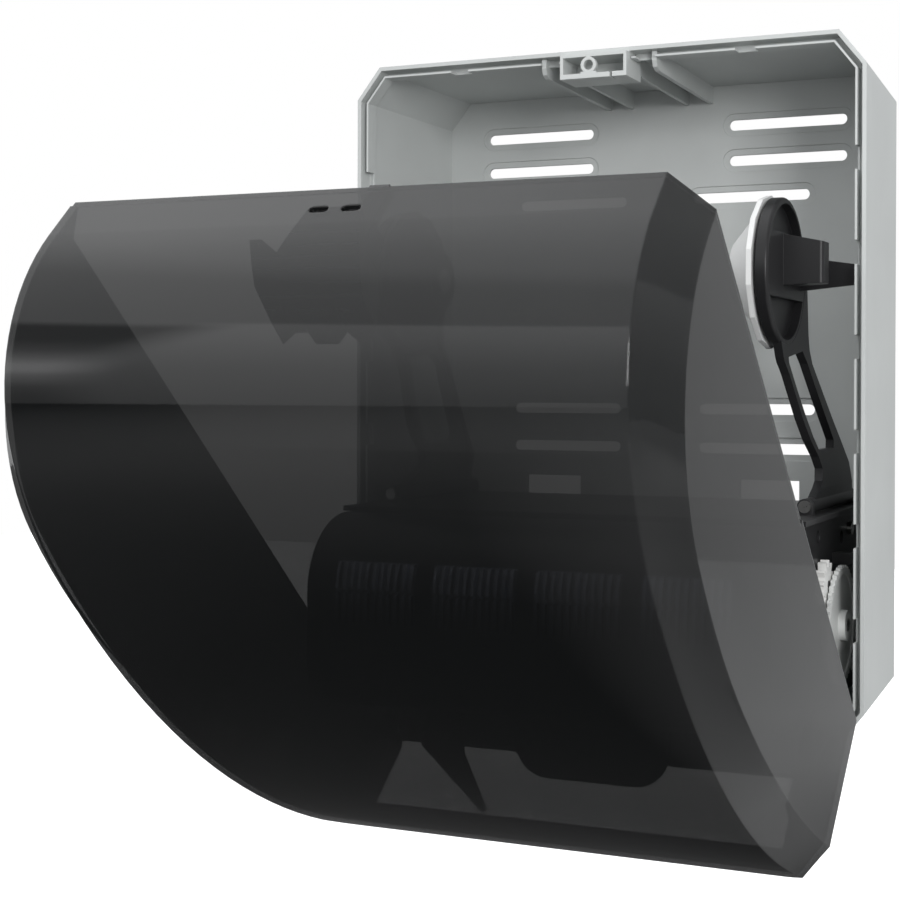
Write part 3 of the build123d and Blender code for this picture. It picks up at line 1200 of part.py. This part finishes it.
def arm_face(points):
    """A face in Y and Z from points given from the hub, stretched to the heel's place."""
    stretch = (FOOT_REAR - HUB_Y) / ARM_DRAWN
    return make_face(Polyline(*[(HUB_Y + y * stretch, HUB_Z + z) for y, z in points], close=True))


def arm_legs():
    """The two legs: a bent plate with a flange along its outline and round its opening."""
    span = (HUB_Y - CUP_RADIUS, 0.0)
    x0, x1 = ARM_OUTSIDE - ARM_FLANGE - 1, ARM_FOOT_OUTSIDE + 1
    outline = arm_face(ARM_OUTLINE) - arm_face(ARM_WINDOW)
    sunk = offset(outline, -FLANGE_WALL, kind=Kind.INTERSECTION)
    full = extrude(side_plane(x0) * outline, x1 - x0)
    plate = full & bent_band(ARM_OUTSIDE, ARM_OUTSIDE - ARM_PLATE, *span)
    flange = extrude(side_plane(x0) * (outline - sunk), x1 - x0)
    flange &= bent_band(ARM_OUTSIDE - ARM_PLATE / 2, ARM_OUTSIDE - ARM_FLANGE, *span)
    return plate + flange


def roll_arm():
    """The right arm: a round cup at the hub, two curved legs and a foot on a pin."""
    x1 = ARM_OUTSIDE
    x0 = x1 - CUP_DEPTH
    legs = arm_legs() - rod_x(CUP_RADIUS - 1, x0 - CUP_DEPTH, x1 + 1, HUB_Y, HUB_Z)
    cup = rod_x(CUP_RADIUS, x0, x1, HUB_Y, HUB_Z)
    cup = fillet(cup.edges().group_by(Axis.X)[-1], CUP_FLOOR)
    pockets = rod_x(CUP_RADIUS - CUP_RIM, x0 + CUP_FLOOR, x1 + 1, HUB_Y, HUB_Z)
    pockets -= box((x0, x1 + 2), (HUB_Y - CUP_RADIUS, HUB_Y + CUP_RADIUS), POCKET_EDGES)
    body = legs + cup - pockets
    # The grip stands out from the cup, and behind it the tab that meets the side wall
    low_taper, high_taper = GRIP_TAPER
    far = x1 + GRIP_REACH
    grip = make_face(Polyline((x1 - 1, GRIP_LOW), (far, GRIP_LOW + low_taper), (far, GRIP_HIGH - high_taper),
                              (x1 - 1, GRIP_HIGH), close=True))
    block = extrude(front_plane(GRIP_FRONT + GRIP_THICKNESS) * grip, GRIP_THICKNESS)
    block = fillet(block.edges().filter_by(Axis.Z).group_by(Axis.X)[-1], GRIP_ROUND)
    far = x1 + TAB_REACH
    tab = [(x1 - 1, TAB_LOW[0]), (far, TAB_LOW[1]), (far, TAB_HIGH[1]), (x1 - 1, TAB_HIGH[0])]
    plate = extrude(front_plane(TAB_FRONT + TAB_PLATE) * make_face(Polyline(*tab, close=True)), TAB_PLATE)
    body += block + plate
    body += rod_y(FOOT_RADIUS, FOOT_FRONT, FOOT_REAR, FOOT_X, FOOT_Z)
    body -= rod_y(FOOT_PIN_RADIUS + RUNNING, FOOT_FRONT - 1, FOOT_REAR + 1, FOOT_X, FOOT_Z)
    return body - rod_x(AXLE_RADIUS, x0 - 1, x0 + AXLE_GRIP, HUB_Y, HUB_Z)


def arm_pin():
    front = FOOT_FRONT - SIDE_GAP - LUG_WIDTH
    pin = rod_y(FOOT_PIN_RADIUS, front, FOOT_REAR + SIDE_GAP + LUG_WIDTH, FOOT_X, FOOT_Z)
    return pin + rod_y(FOOT_RADIUS - 1, front - PIN_HEAD, front, FOOT_X, FOOT_Z)


def plug_places():
    """Where along X the core plug's cone ends, and its flange starts and ends."""
    outside = ARM_OUTSIDE - CUP_DEPTH - FLANGE_GAP
    inside = outside - FLANGE_THICKNESS
    return inside - PLUG_LENGTH, inside, outside


def hub_axle():
    """The stub on the arm that the core plug turns on, with a head that keeps it there."""
    tip = plug_places()[0] - SIDE_GAP
    axle = rod_x(AXLE_RADIUS, tip, ARM_OUTSIDE - CUP_DEPTH + AXLE_GRIP, HUB_Y, HUB_Z)
    return axle + rod_x(AXLE_HEAD_RADIUS, tip - AXLE_HEAD, tip, HUB_Y, HUB_Z)


def cone_x(tip_radius, base_radius, x0, x1):
    tip = side_plane(x0) * Pos(HUB_Y, HUB_Z) * Circle(tip_radius)
    base = side_plane(x1) * Pos(HUB_Y, HUB_Z) * Circle(base_radius)
    return loft([tip, base], ruled=True)


def core_plug():
    """The white plug in the end of the roll's core: a flat-sided flange and a hollow cone."""
    tip, inside, outside = plug_places()
    points = []
    for i in range(FLANGE_SIDES):
        turn = 2 * math.pi * (i + 0.5) / FLANGE_SIDES
        points.append((HUB_Y + FLANGE_RADIUS * math.cos(turn), HUB_Z + FLANGE_RADIUS * math.sin(turn)))
    skin = cone_x(PLUG_TIP_RADIUS, PLUG_RADIUS, tip, inside) + plate_x(inside, outside, points)
    hollow = cone_x(PLUG_TIP_RADIUS - PLUG_WALL, PLUG_RADIUS - PLUG_WALL, tip + PLUG_WALL, inside)
    mouth = rod_x(PLUG_RADIUS - PLUG_WALL, inside - RUNNING, outside + 1, HUB_Y, HUB_Z)
    rib = box((tip + 1, outside), (HUB_Y, HUB_Y + PLUG_RADIUS - 1),
              (HUB_Z - PLUG_RIB_HALF, HUB_Z + PLUG_RIB_HALF))
    ribs = [rib.rotate(HUB_AXIS, i * 360 / PLUG_RIBS) & skin for i in range(PLUG_RIBS)]
    hub = rod_x(AXLE_RADIUS + PLUG_WALL, tip, outside, HUB_Y, HUB_Z)
    bore = rod_x(AXLE_RADIUS + RUNNING, tip - 1, outside + 1, HUB_Y, HUB_Z)
    return skin - hollow - mouth + hub + ribs - bore


parts = {
    "back_housing": back_housing(),
    "latch_catch": latch_catch(),
    "cover_shell": opened(cover_shell()),
    "lock_body": opened(lock_body()),
    "latch_slider": opened(latch_slider()),
    "latch_plate": opened(latch_plate()),
    "latch_spring": opened(latch_spring()),
    "hinge_pin_left": hinge_pin(-1),
    "hinge_pin_right": hinge_pin(1),
    "side_plate_left": side_plate(-1),
    "side_plate_right": side_plate(1),
    "front_guide": front_guide(),
    "top_shelf": top_shelf(),
    "rear_plate": rear_plate(),
    "module_screws": module_screws(),
    "tie_rods": tie_rods(),
    "tie_screws": tie_screws(),
    "wheel_guard": wheel_guard(),
    "feed_drum": feed_drum(),
    "grip_bands": grip_bands(),
    "drum_shaft": drum_shaft(),
    "shaft_bushes": shaft_bushes(),
    "knife_carrier": knife_carrier(),
    "knife_blade": knife_blade(),
    "pinch_roller": pinch_roller(),
    "roller_sleeves": roller_sleeves(),
    "roller_clips": roller_clips(),
    "drum_gear": drum_gear(),
    "hand_wheel": hand_wheel(),
    "damper": damper(),
    "damper_pinion": damper_pinion(),
    "crank_disc": crank_disc(),
    "spring_post": spring_post(),
    "drum_spring": drum_spring(),
    "stop_lever": stop_lever(),
    "stop_pin": stop_pin(),
    "paper_chute": paper_chute(),
    "exit_tab": exit_tab(),
    "feed_lever": feed_lever(),
    "lever_bracket": lever_bracket(),
    "roll_arm_right": roll_arm(),
    "arm_pin_right": arm_pin(),
    "hub_axle_right": hub_axle(),
    "core_plug_right": core_plug(),
}
for name in ("roll_arm", "arm_pin", "hub_axle", "core_plug"):
    parts[name + "_left"] = mirrored(parts[name + "_right"])

os.makedirs("parts", exist_ok=True)
for name, shape in parts.items():
    shape.label = name
    export_step(shape, f"parts/{name}.step")
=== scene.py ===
import math

import bpy
from mathutils import Matrix, Vector


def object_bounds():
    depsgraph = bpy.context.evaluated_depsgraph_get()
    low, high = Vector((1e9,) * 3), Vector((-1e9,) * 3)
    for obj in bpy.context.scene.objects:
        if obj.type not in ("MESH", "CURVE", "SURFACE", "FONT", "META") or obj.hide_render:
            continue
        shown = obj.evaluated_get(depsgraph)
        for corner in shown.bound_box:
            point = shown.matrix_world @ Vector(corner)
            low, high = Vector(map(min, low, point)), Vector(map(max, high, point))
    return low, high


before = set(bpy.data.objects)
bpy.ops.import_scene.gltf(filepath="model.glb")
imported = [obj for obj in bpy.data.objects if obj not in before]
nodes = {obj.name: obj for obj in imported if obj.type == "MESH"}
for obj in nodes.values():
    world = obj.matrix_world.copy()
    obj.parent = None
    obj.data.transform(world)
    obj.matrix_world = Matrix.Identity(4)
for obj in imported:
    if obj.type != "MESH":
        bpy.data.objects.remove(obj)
cad_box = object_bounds()

# The wall housing: an open box of pale grey ABS, moulded in one shot with a fine spark-eroded
# grain. The catch under its top wall is a separate clip of the same plastic, pushed in.
HOUSING_GREY = (0.565, 0.585, 0.578)
CATCH_GREY = (0.60, 0.62, 0.612)
CLOUDS_PER_METRE = 14.0
CLOUD_DETAIL = 4.0
CLOUD_START, CLOUD_END = 0.3, 0.7
SMOOTHER, ROUGHER = 0.05, 0.07
GRAIN_SIZE = 0.0011
GRAIN_DETAIL = 2.0
GRAIN_DEPTH = 0.00004
GRAIN_STRENGTH = 0.5
MOULDED_EDGE = 0.0005
EDGE_SAMPLES = 4


def feed(tree, node, entries):
    """Gives each entry of a node its fixed value or another node's output."""
    for entry, given in entries.items():
        if isinstance(given, bpy.types.NodeSocket):
            tree.links.new(given, node.inputs[entry])
        else:
            node.inputs[entry].default_value = given


def step(tree, kind, entries, output, operation=None):
    """Adds a node, feeds it and hands back its output."""
    node = tree.nodes.new("ShaderNode" + kind)
    if operation:
        node.operation = operation
    feed(tree, node, entries)
    return node.outputs[output]


def ramp(tree, value, stops, tone=(1, 1, 1)):
    """A tone that grows and falls with a value, from pairs of position and level."""
    steps = tree.nodes.new("ShaderNodeValToRGB")
    places = steps.color_ramp.elements
    while len(places) < len(stops):
        places.new(0.5)
    for place, (position, level) in zip(places, stops):
        place.position = position
        place.color = (*[level * c for c in tone], 1)
    feed(tree, steps, {"Fac": value})
    return steps.outputs["Color"]


def rounded_edge(tree, radius):
    rounding = tree.nodes.new("ShaderNodeBevel")
    rounding.samples = EDGE_SAMPLES
    feed(tree, rounding, {"Radius": radius})
    return rounding.outputs["Normal"]


def new_finish(name):
    """An empty finish, with its nodes, its shader and its surface's own coordinates."""
    finish = bpy.data.materials.new(name)
    finish.use_nodes = True
    tree = finish.node_tree
    place = step(tree, "TexCoord", {}, "Object")
    return finish, tree, tree.nodes["Principled BSDF"], place


def moulded_plastic(name, colour, roughness, cloud=0.04, grain=GRAIN_DEPTH, shine=0.5):
    """Plastic from a mould: faint clouding, a fine grain and softly rounded edges."""
    finish, tree, shader, place = new_finish(name)
    clouds = step(tree, "TexNoise", {"Vector": place, "Scale": CLOUDS_PER_METRE,
                                     "Detail": CLOUD_DETAIL}, "Fac")
    polish = step(tree, "MapRange", {"Value": clouds, "To Min": roughness - SMOOTHER,
                                     "To Max": roughness + ROUGHER}, "Result")
    specks = step(tree, "TexNoise", {"Vector": place, "Scale": 1 / GRAIN_SIZE,
                                     "Detail": GRAIN_DETAIL}, "Fac")
    relief = step(tree, "Bump", {"Strength": GRAIN_STRENGTH, "Distance": grain, "Height": specks,
                                 "Normal": rounded_edge(tree, MOULDED_EDGE)}, "Normal")
    feed(tree, shader, {
        "Base Color": ramp(tree, clouds, [(CLOUD_START, 1 - cloud), (CLOUD_END, 1 + cloud)],
                           colour),
        "Roughness": polish,
        "Specular IOR Level": shine,
        "Normal": relief,
    })
    return finish


def dress(finish, *names):
    """Gives CAD nodes their finish."""
    for name in names:
        for entry in nodes[name].material_slots:
            entry.material = finish


dress(moulded_plastic("grey housing plastic", HOUSING_GREY, roughness=0.42), "back_housing")
dress(moulded_plastic("grey catch plastic", CATCH_GREY, roughness=0.38), "latch_catch")

# The cover: a deep shell of smoke-tinted clear plastic, polished in the mould inside and out,
# so that it shows what lies behind it darkly and mirrors the lamps. It hangs on two steel pins.
SMOKE = (0.0030, 0.0034, 0.0036)
STREAK_TONES = [(0.0, 1.0), (1.0, 1.6)]
STREAKS_PER_METRE = 6.0
STREAK_DETAIL = 3.0
COVER_ROUGHNESS = 0.045
CLEAR_PLASTIC_IOR = 1.49
COVER_EDGE = 0.0012
COVER_FOOT = -0.257
COVER_CREST = 0.096
# How much of the light one wall holds back, from the foot to the crest, and how that varies.
SMOKE_DEPTH = [(0.0, 0.90), (0.18, 0.885), (0.40, 0.852), (0.78, 0.845), (1.0, 0.815)]
THINNEST, THICKEST = 0.99, 1.01


def smoked_plastic():
    finish, tree, shader, place = new_finish("smoked clear plastic")
    streaks = step(tree, "TexNoise", {"Vector": place, "Scale": STREAKS_PER_METRE,
                                      "Detail": STREAK_DETAIL}, "Fac")
    height = step(tree, "MapRange", {"Value": step(tree, "SeparateXYZ", {"Vector": place}, "Z"),
                                     "From Min": COVER_FOOT, "From Max": COVER_CREST}, "Result")
    uneven = step(tree, "MapRange", {"Value": streaks, "To Min": THINNEST, "To Max": THICKEST},
                  "Result")
    depth = ramp(tree, height, SMOKE_DEPTH)
    feed(tree, shader, {
        "Base Color": ramp(tree, streaks, STREAK_TONES, SMOKE),
        "Roughness": COVER_ROUGHNESS,
        "IOR": CLEAR_PLASTIC_IOR,
        "Alpha": step(tree, "Math", {0: depth, 1: uneven}, "Value", "MULTIPLY"),
        "Normal": rounded_edge(tree, COVER_EDGE),
    })
    return finish


dress(smoked_plastic(), "cover_shell")

# The lock under the cover's top edge: a black case with a spring latch, worked through the
# two key slots. The case is moulded and screwed to the cover.
LOCK_BLACK = (0.022, 0.022, 0.023)

dress(moulded_plastic("black lock plastic", LOCK_BLACK, roughness=0.35),
      "lock_body", "latch_slider", "latch_plate")

# Steel pieces: turned pins, shafts and screws, bright zinc plated, with fine rings left by the
# lathe. Springs and clips are darker drawn steel, and the knife's blade is ground.
TURNED_STEEL = (0.62, 0.62, 0.60)
PIN_STEEL = (0.58, 0.58, 0.57)
SPRING_STEEL = (0.42, 0.41, 0.40)
BLADE_STEEL = (0.66, 0.67, 0.68)
RING_TONES = [(0.0, 0.8), (1.0, 1.0)]
RING_SMOOTH, RING_ROUGH = 0.7, 1.3
RING_DETAIL = 3.0
RING_DEPTH = 0.00003
RING_STRENGTH = 0.3
# Marks lie close together along a large number and are drawn out along a small one.
RINGS_ACROSS = (4.0, 0.3, 0.3)
RINGS_INWARD = (0.3, 4.0, 0.3)
RINGS_EVEN = (1.0, 1.0, 1.0)
GRINDING_LINES = (0.1, 3.0, 3.0)


def bright_steel(name, colour, roughness, ring_size, direction):
    """Steel with the fine marks of its tool."""
    finish, tree, shader, place = new_finish(name)
    squeezed = step(tree, "Mapping", {"Vector": place, "Scale": direction}, "Vector")
    rings = step(tree, "TexNoise", {"Vector": squeezed, "Scale": 1 / ring_size,
                                    "Detail": RING_DETAIL}, "Fac")
    polish = step(tree, "MapRange", {"Value": rings, "To Min": roughness * RING_SMOOTH,
                                     "To Max": roughness * RING_ROUGH}, "Result")
    relief = step(tree, "Bump", {"Strength": RING_STRENGTH, "Distance": RING_DEPTH,
                                 "Height": rings}, "Normal")
    feed(tree, shader, {
        "Base Color": ramp(tree, rings, RING_TONES, colour),
        "Metallic": 1.0,
        "Roughness": polish,
        "Normal": relief,
    })
    return finish


dress(bright_steel("turned steel", TURNED_STEEL, roughness=0.28, ring_size=0.0006,
                   direction=RINGS_ACROSS),
      "drum_shaft", "hinge_pin_left", "hinge_pin_right", "hub_axle_left", "hub_axle_right",
      "spring_post", "stop_pin", "tie_rods", "tie_screws", "module_screws")
dress(bright_steel("foot pin steel", PIN_STEEL, roughness=0.3, ring_size=0.0006,
                   direction=RINGS_INWARD),
      "arm_pin_left", "arm_pin_right")
dress(bright_steel("drawn spring steel", SPRING_STEEL, roughness=0.32, ring_size=0.0009,
                   direction=RINGS_EVEN),
      "latch_spring", "drum_spring", "roller_clips")
dress(bright_steel("ground blade steel", BLADE_STEEL, roughness=0.18, ring_size=0.0004,
                   direction=GRINDING_LINES),
      "knife_blade")

# The mechanism module: side plates, shelf, rear plate and chute of black glass-filled plastic,
# screwed together over steel tie rods and hung on the back wall.
MODULE_BLACK = (0.016, 0.016, 0.017)
BLACK_CLOUD = 0.12

dress(moulded_plastic("black module plastic", MODULE_BLACK, roughness=0.40, cloud=BLACK_CLOUD),
      "side_plate_left", "side_plate_right", "top_shelf", "rear_plate", "wheel_guard",
      "paper_chute", "exit_tab", "feed_lever", "lever_bracket", "damper")

# The front guide is moulded of the same black plastic. Its four groups of upright ribs carry
# the paper. They carry a painted highlight, pale and slightly blue, which fades into the black
# lower down; the gaps between them are painted darker, as shade.
RIB_HIGHLIGHT_BLUE = (0.74, 0.78, 0.92, 1)
RIBS_BASE = -0.140
RIBS_CREST = -0.080
GROUPS = 4
GROUP_PITCH = 0.062
GROUP_HALF = 0.0247
RIBS_IN_GROUP = 11
RIB_PITCH = 0.0047
RIB_HALF = 0.00095
# How strong the painted highlight is on the ribs and in the darker gaps between them, from the
# base to the crest.
RIB_HIGHLIGHT_FADE = [(0.0, 0.0), (0.27, 0.0), (0.42, 0.3), (0.54, 0.85), (0.60, 1.0), (0.83, 1.0),
            (0.84, 0.0)]
GAP_HIGHLIGHT_FADE = [(0.0, 0.0), (0.575, 0.0), (0.60, 0.45), (0.83, 0.45), (0.84, 0.0)]


def chain(tree, value, sums):
    """A row of sums on one value, each with its own fixed number."""
    for operation, number in sums:
        value = step(tree, "Math", {0: value, 1: number}, "Value", operation)
    return value


def mixed(tree, share, first, last):
    """A colour between a first and a last one."""
    mix = tree.nodes.new("ShaderNodeMix")
    mix.data_type = "RGBA"
    feed(tree, mix, {"Factor": share, "A": first, "B": last})
    return mix.outputs["Result"]


def ribbed_plastic_painted_highlight():
    finish = moulded_plastic("black ribbed plastic, painted highlight", MODULE_BLACK, roughness=0.34,
                             cloud=BLACK_CLOUD)
    tree = finish.node_tree
    shader = tree.nodes["Principled BSDF"]
    black = shader.inputs["Base Color"].links[0].from_socket
    place = step(tree, "TexCoord", {}, "Object")
    sideways = step(tree, "SeparateXYZ", {"Vector": place}, "X")
    height = step(tree, "MapRange", {"Value": step(tree, "SeparateXYZ", {"Vector": place}, "Z"),
                                     "From Min": RIBS_BASE, "From Max": RIBS_CREST}, "Result")
    from_group = chain(tree, sideways, [("ADD", GROUPS / 2 * GROUP_PITCH),
                                        ("MODULO", GROUP_PITCH), ("SUBTRACT", GROUP_PITCH / 2)])
    on_rib = chain(tree, from_group, [("ADD", RIBS_IN_GROUP / 2 * RIB_PITCH),
                                      ("MODULO", RIB_PITCH), ("SUBTRACT", RIB_PITCH / 2),
                                      ("ABSOLUTE", 0.0), ("LESS_THAN", RIB_HALF)])
    in_group = chain(tree, from_group, [("ABSOLUTE", 0.0), ("LESS_THAN", GROUP_HALF)])
    row_half = (GROUPS - 1) / 2 * GROUP_PITCH + GROUP_HALF
    in_row = chain(tree, sideways, [("ABSOLUTE", 0.0), ("LESS_THAN", row_half)])
    # Painted highlight on the ribs, weaker in the gaps between them as painted shade.
    pale = mixed(tree, on_rib, ramp(tree, height, GAP_HIGHLIGHT_FADE), ramp(tree, height, RIB_HIGHLIGHT_FADE))
    for inside in (in_group, in_row):
        pale = step(tree, "Math", {0: pale, 1: inside}, "Value", "MULTIPLY")
    feed(tree, shader, {"Base Color": mixed(tree, pale, black, RIB_HIGHLIGHT_BLUE)})
    return finish


dress(ribbed_plastic_painted_highlight(), "front_guide")

# The feed drum and pinch roller: dark grey hollow mouldings with bands of ribbed rubber, which
# grip the paper. The knife swings on stub pins inside the drum.
DRUM_GREY = (0.11, 0.112, 0.115)
BAND_BLACK = (0.020, 0.020, 0.020)

dress(moulded_plastic("grey drum plastic", DRUM_GREY, roughness=0.38),
      "feed_drum", "knife_carrier", "pinch_roller")
dress(moulded_plastic("black band rubber", BAND_BLACK, roughness=0.72, cloud=0.2, grain=0.0001),
      "grip_bands", "roller_sleeves")

# Gears, bushes, crank disc and stop lever: white acetal, slightly waxy, moulded in one piece
# each. The hand wheel is a thin wheel of pale grey plastic pressed on the shaft's end.
WHITE_ACETAL = (0.80, 0.80, 0.785)
WHEEL_GREY = (0.62, 0.63, 0.62)
WHITE_CLOUD = 0.02

dress(moulded_plastic("white acetal", WHITE_ACETAL, roughness=0.33, cloud=WHITE_CLOUD),
      "drum_gear", "damper_pinion", "crank_disc", "stop_lever", "shaft_bushes")
dress(moulded_plastic("pale wheel plastic", WHEEL_GREY, roughness=0.36), "hand_wheel")

# The roll arms: springy black legs with a round cup at the hub, on steel foot pins. Each cup
# carries a core plug that turns with the roll, a white one at the right and a black one at the
# left.
ARM_BLACK = (0.015, 0.015, 0.016)
PLUG_WHITE = (0.74, 0.745, 0.74)
PLUG_BLACK = (0.02, 0.02, 0.021)

dress(moulded_plastic("black arm plastic", ARM_BLACK, roughness=0.36, cloud=BLACK_CLOUD,
                      shine=0.3),
      "roll_arm_left", "roll_arm_right")
dress(moulded_plastic("white plug plastic", PLUG_WHITE, roughness=0.36, cloud=WHITE_CLOUD),
      "core_plug_right")
dress(moulded_plastic("black plug plastic", PLUG_BLACK, roughness=0.36, cloud=BLACK_CLOUD),
      "core_plug_left")

# The floor: a wide plain sheet below the dispenser, which hangs at its own height on the wall.
# The camera sees it pale, with its shadow. To the object it carries painted shade, most of all
# below itself and behind at the left, and painted light at the right, which sets the tones of
# the polished cover.
FLOOR_DROP = 0.30
FLOOR_HALF = 4.0
FLOOR_ROUGHNESS = 0.9
# Painted shade from the middle of the floor, darkest under the object, to its edges.
FLOOR_PAINTED_SHADE = [(0.0, 0.045), (0.13, 0.055), (0.20, 0.12), (0.27, 0.22), (0.36, 0.40),
               (0.45, 0.46), (0.7, 0.44), (1.0, 0.42)]
BEHIND_LEFT = (-0.94, 0.34, 0.0)
SHADE_START, SHADE_END = 0.2, 1.5
SHADE_LEFT_OVER = 0.2
RIGHT_START, RIGHT_END = -0.05, -0.30
RIGHT_PAINTED_LIGHT = (0.54, 0.54, 0.54, 1)
SEEN_TONE = (0.85, 0.85, 0.85, 1)
SEEN_GLOW = 0.45
WHITE = (1, 1, 1, 1)


def pale_floor():
    finish, tree, shader, place = new_finish("pale floor")
    distance = step(tree, "VectorMath", {0: place}, "Value", "LENGTH")
    reach = step(tree, "MapRange", {"Value": distance, "From Max": FLOOR_HALF}, "Result")
    behind = step(tree, "VectorMath", {0: place, 1: BEHIND_LEFT}, "Value", "DOT_PRODUCT")
    shade = step(tree, "MapRange", {"Value": behind, "From Min": SHADE_START,
                                    "From Max": SHADE_END, "To Min": 1.0,
                                    "To Max": SHADE_LEFT_OVER}, "Result")
    right_side = step(tree, "MapRange", {"Value": behind, "From Min": RIGHT_START,
                                         "From Max": RIGHT_END}, "Result")
    # Painted shade towards the middle and behind at the left, painted light at the right.
    tone = mixed(tree, right_side, ramp(tree, reach, FLOOR_PAINTED_SHADE), RIGHT_PAINTED_LIGHT)
    shaded = step(tree, "VectorMath", {0: tone, "Scale": shade}, "Vector", "SCALE")
    to_camera = step(tree, "LightPath", {}, "Is Camera Ray")
    feed(tree, shader, {
        "Base Color": mixed(tree, to_camera, shaded, SEEN_TONE),
        "Roughness": FLOOR_ROUGHNESS,
        "Specular IOR Level": 0.0,
        "Emission Color": WHITE,
        "Emission Strength": step(tree, "Math", {0: to_camera, 1: SEEN_GLOW}, "Value",
                                  "MULTIPLY"),
    })
    return finish


sheet = bpy.data.meshes.new("floor")
corners = [(x * FLOOR_HALF, y * FLOOR_HALF, 0) for x, y in ((-1, -1), (1, -1), (1, 1), (-1, 1))]
sheet.from_pydata(corners, [], [(0, 1, 2, 3)])
sheet.materials.append(pale_floor())
floor = bpy.data.objects.new("floor", sheet)
floor.location = (0, 0, cad_box[0][2] - FLOOR_DROP)
bpy.context.scene.collection.objects.link(floor)

# The studio: pale screens all round, white behind the object. Their light comes mostly from the
# left front, drops at a sharp edge a third of the way up and dims downward. A soft glow between
# darker bands stands at the far left, and a lamp at the right front.
SCREEN_TINT = (0.98, 0.99, 1.0)
BRIGHT_LEVEL = 2.5
# Light by height, which runs from -1, straight down, to 1, straight up.
LIGHT_BY_HEIGHT = [(-1.0, 0.18), (-0.66, 0.26), (-0.5, 0.40), (-0.31, 0.60), (-0.09, 0.80),
                   (0.14, 1.1), (0.24, 1.35), (0.37, 1.7), (0.455, 1.85), (0.462, 1.2),
                   (0.7, 1.3), (0.78, 1.7), (0.9, 1.9)]
GLOW_BY_HEIGHT = [(-1.0, 0.18), (-0.66, 0.26), (-0.5, 0.36), (-0.24, 0.45), (-0.15, 0.40),
                  (-0.07, 0.46), (0.0, 0.65), (0.087, 1.6), (0.12, 2.5), (0.16, 2.5),
                  (0.21, 1.5), (0.26, 0.8), (0.33, 0.42), (0.42, 0.40), (0.455, 1.3),
                  (0.462, 1.2), (0.7, 1.3), (0.78, 1.7), (0.9, 1.9)]
GLOW_WIDTH = [(0.0, 0.0), (0.22, 0.0), (0.29, 1.0), (0.59, 1.0), (0.67, 0.0)]
GLOW_SIDE = (-0.766, 0.643, 0.0)
GLOW_START, GLOW_END = -0.15, 0.45
FRONT_START, FRONT_END = -0.1, -0.3
BRIGHT_SIDE = (-0.82, -0.57, 0.35)
BRIGHT_START, BRIGHT_END = 0.25, 0.60
FAR_SIDE_SHARE = 0.5


def light_by_height(tree, height, levels):
    """The screens' light, as shares of the brightest level."""
    stops = [((level + 1) / 2, light / BRIGHT_LEVEL) for level, light in levels]
    return ramp(tree, height, stops, SCREEN_TINT)


def studio_room():
    room = bpy.data.worlds.new("studio")
    room.use_nodes = True
    tree = room.node_tree
    tree.nodes.clear()
    way = step(tree, "TexCoord", {}, "Generated")
    height = step(tree, "MapRange", {"Value": step(tree, "SeparateXYZ", {"Vector": way}, "Z"),
                                     "From Min": -1.0}, "Result")
    across = step(tree, "VectorMath", {0: way, 1: GLOW_SIDE}, "Value", "DOT_PRODUCT")
    window = step(tree, "MapRange", {"Value": across, "From Min": GLOW_START,
                                     "From Max": GLOW_END}, "Result")
    front = step(tree, "MapRange", {"Value": step(tree, "SeparateXYZ", {"Vector": way}, "Y"),
                                    "From Min": FRONT_START, "From Max": FRONT_END}, "Result")
    glow_share = step(tree, "Math", {0: ramp(tree, window, GLOW_WIDTH), 1: front}, "Value",
                      "MULTIPLY")
    light = mixed(tree, glow_share, light_by_height(tree, height, LIGHT_BY_HEIGHT),
                  light_by_height(tree, height, GLOW_BY_HEIGHT))
    side = step(tree, "VectorMath", {0: way, 1: BRIGHT_SIDE}, "Value", "DOT_PRODUCT")
    strength = step(tree, "MapRange", {"Value": side, "From Min": BRIGHT_START,
                                       "From Max": BRIGHT_END,
                                       "To Min": FAR_SIDE_SHARE * BRIGHT_LEVEL,
                                       "To Max": BRIGHT_LEVEL}, "Result")
    screens = step(tree, "Background", {"Color": light, "Strength": strength}, "Background")
    white = step(tree, "Background", {"Color": WHITE, "Strength": 1.0}, "Background")
    to_camera = step(tree, "LightPath", {}, "Is Camera Ray")
    surface = step(tree, "MixShader", {0: to_camera, 1: screens, 2: white}, "Shader")
    feed(tree, tree.nodes.new("ShaderNodeOutputWorld"), {"Surface": surface})
    return room


bpy.context.scene.world = studio_room()

front_lamp = bpy.data.lights.new("front lamp", "AREA")
front_lamp.shape = "RECTANGLE"
front_lamp.size = front_lamp.size_y = 0.6
front_lamp.energy = 19
lamp_stand = bpy.data.objects.new("front lamp", front_lamp)
bpy.context.scene.collection.objects.link(lamp_stand)
lamp_stand.location = (1.3, -1.75, 0.35)
lamp_aim = Vector((0, -0.1, 0.1)) - Vector(lamp_stand.location)
lamp_stand.rotation_euler = lamp_aim.to_track_quat("-Z", "Y").to_euler()

# The camera stands a metre in front of the wall and a third of a metre to the right, level with
# the dispenser's middle. Its shift frames the object as the photograph does.
CAMERA_PLACE = (0.35187, -1.00277, 0.00857)
YAW, PITCH, ROLL = 0.3812, -0.0053, 0.0033

camera_data = bpy.data.cameras.new("camera")
camera_data.sensor_width = 36.0
camera_data.lens = 62.77
camera_data.shift_x = -0.1576
camera_data.shift_y = -0.0568
camera_data.clip_start = 0.01
camera = bpy.data.objects.new("camera", camera_data)
bpy.context.scene.collection.objects.link(camera)
forward = Vector((-math.sin(YAW) * math.cos(PITCH), math.cos(YAW) * math.cos(PITCH),
                  math.sin(PITCH)))
level = Vector((math.cos(YAW), math.sin(YAW), 0))
upright = level.cross(forward)
right = level * math.cos(ROLL) + upright * math.sin(ROLL)
up = right.cross(forward)
turned = Matrix((right, up, -forward)).transposed().to_4x4()
camera.matrix_world = Matrix.Translation(CAMERA_PLACE) @ turned
bpy.context.scene.camera = camera

bpy.context.scene.view_settings.view_transform = "Standard"
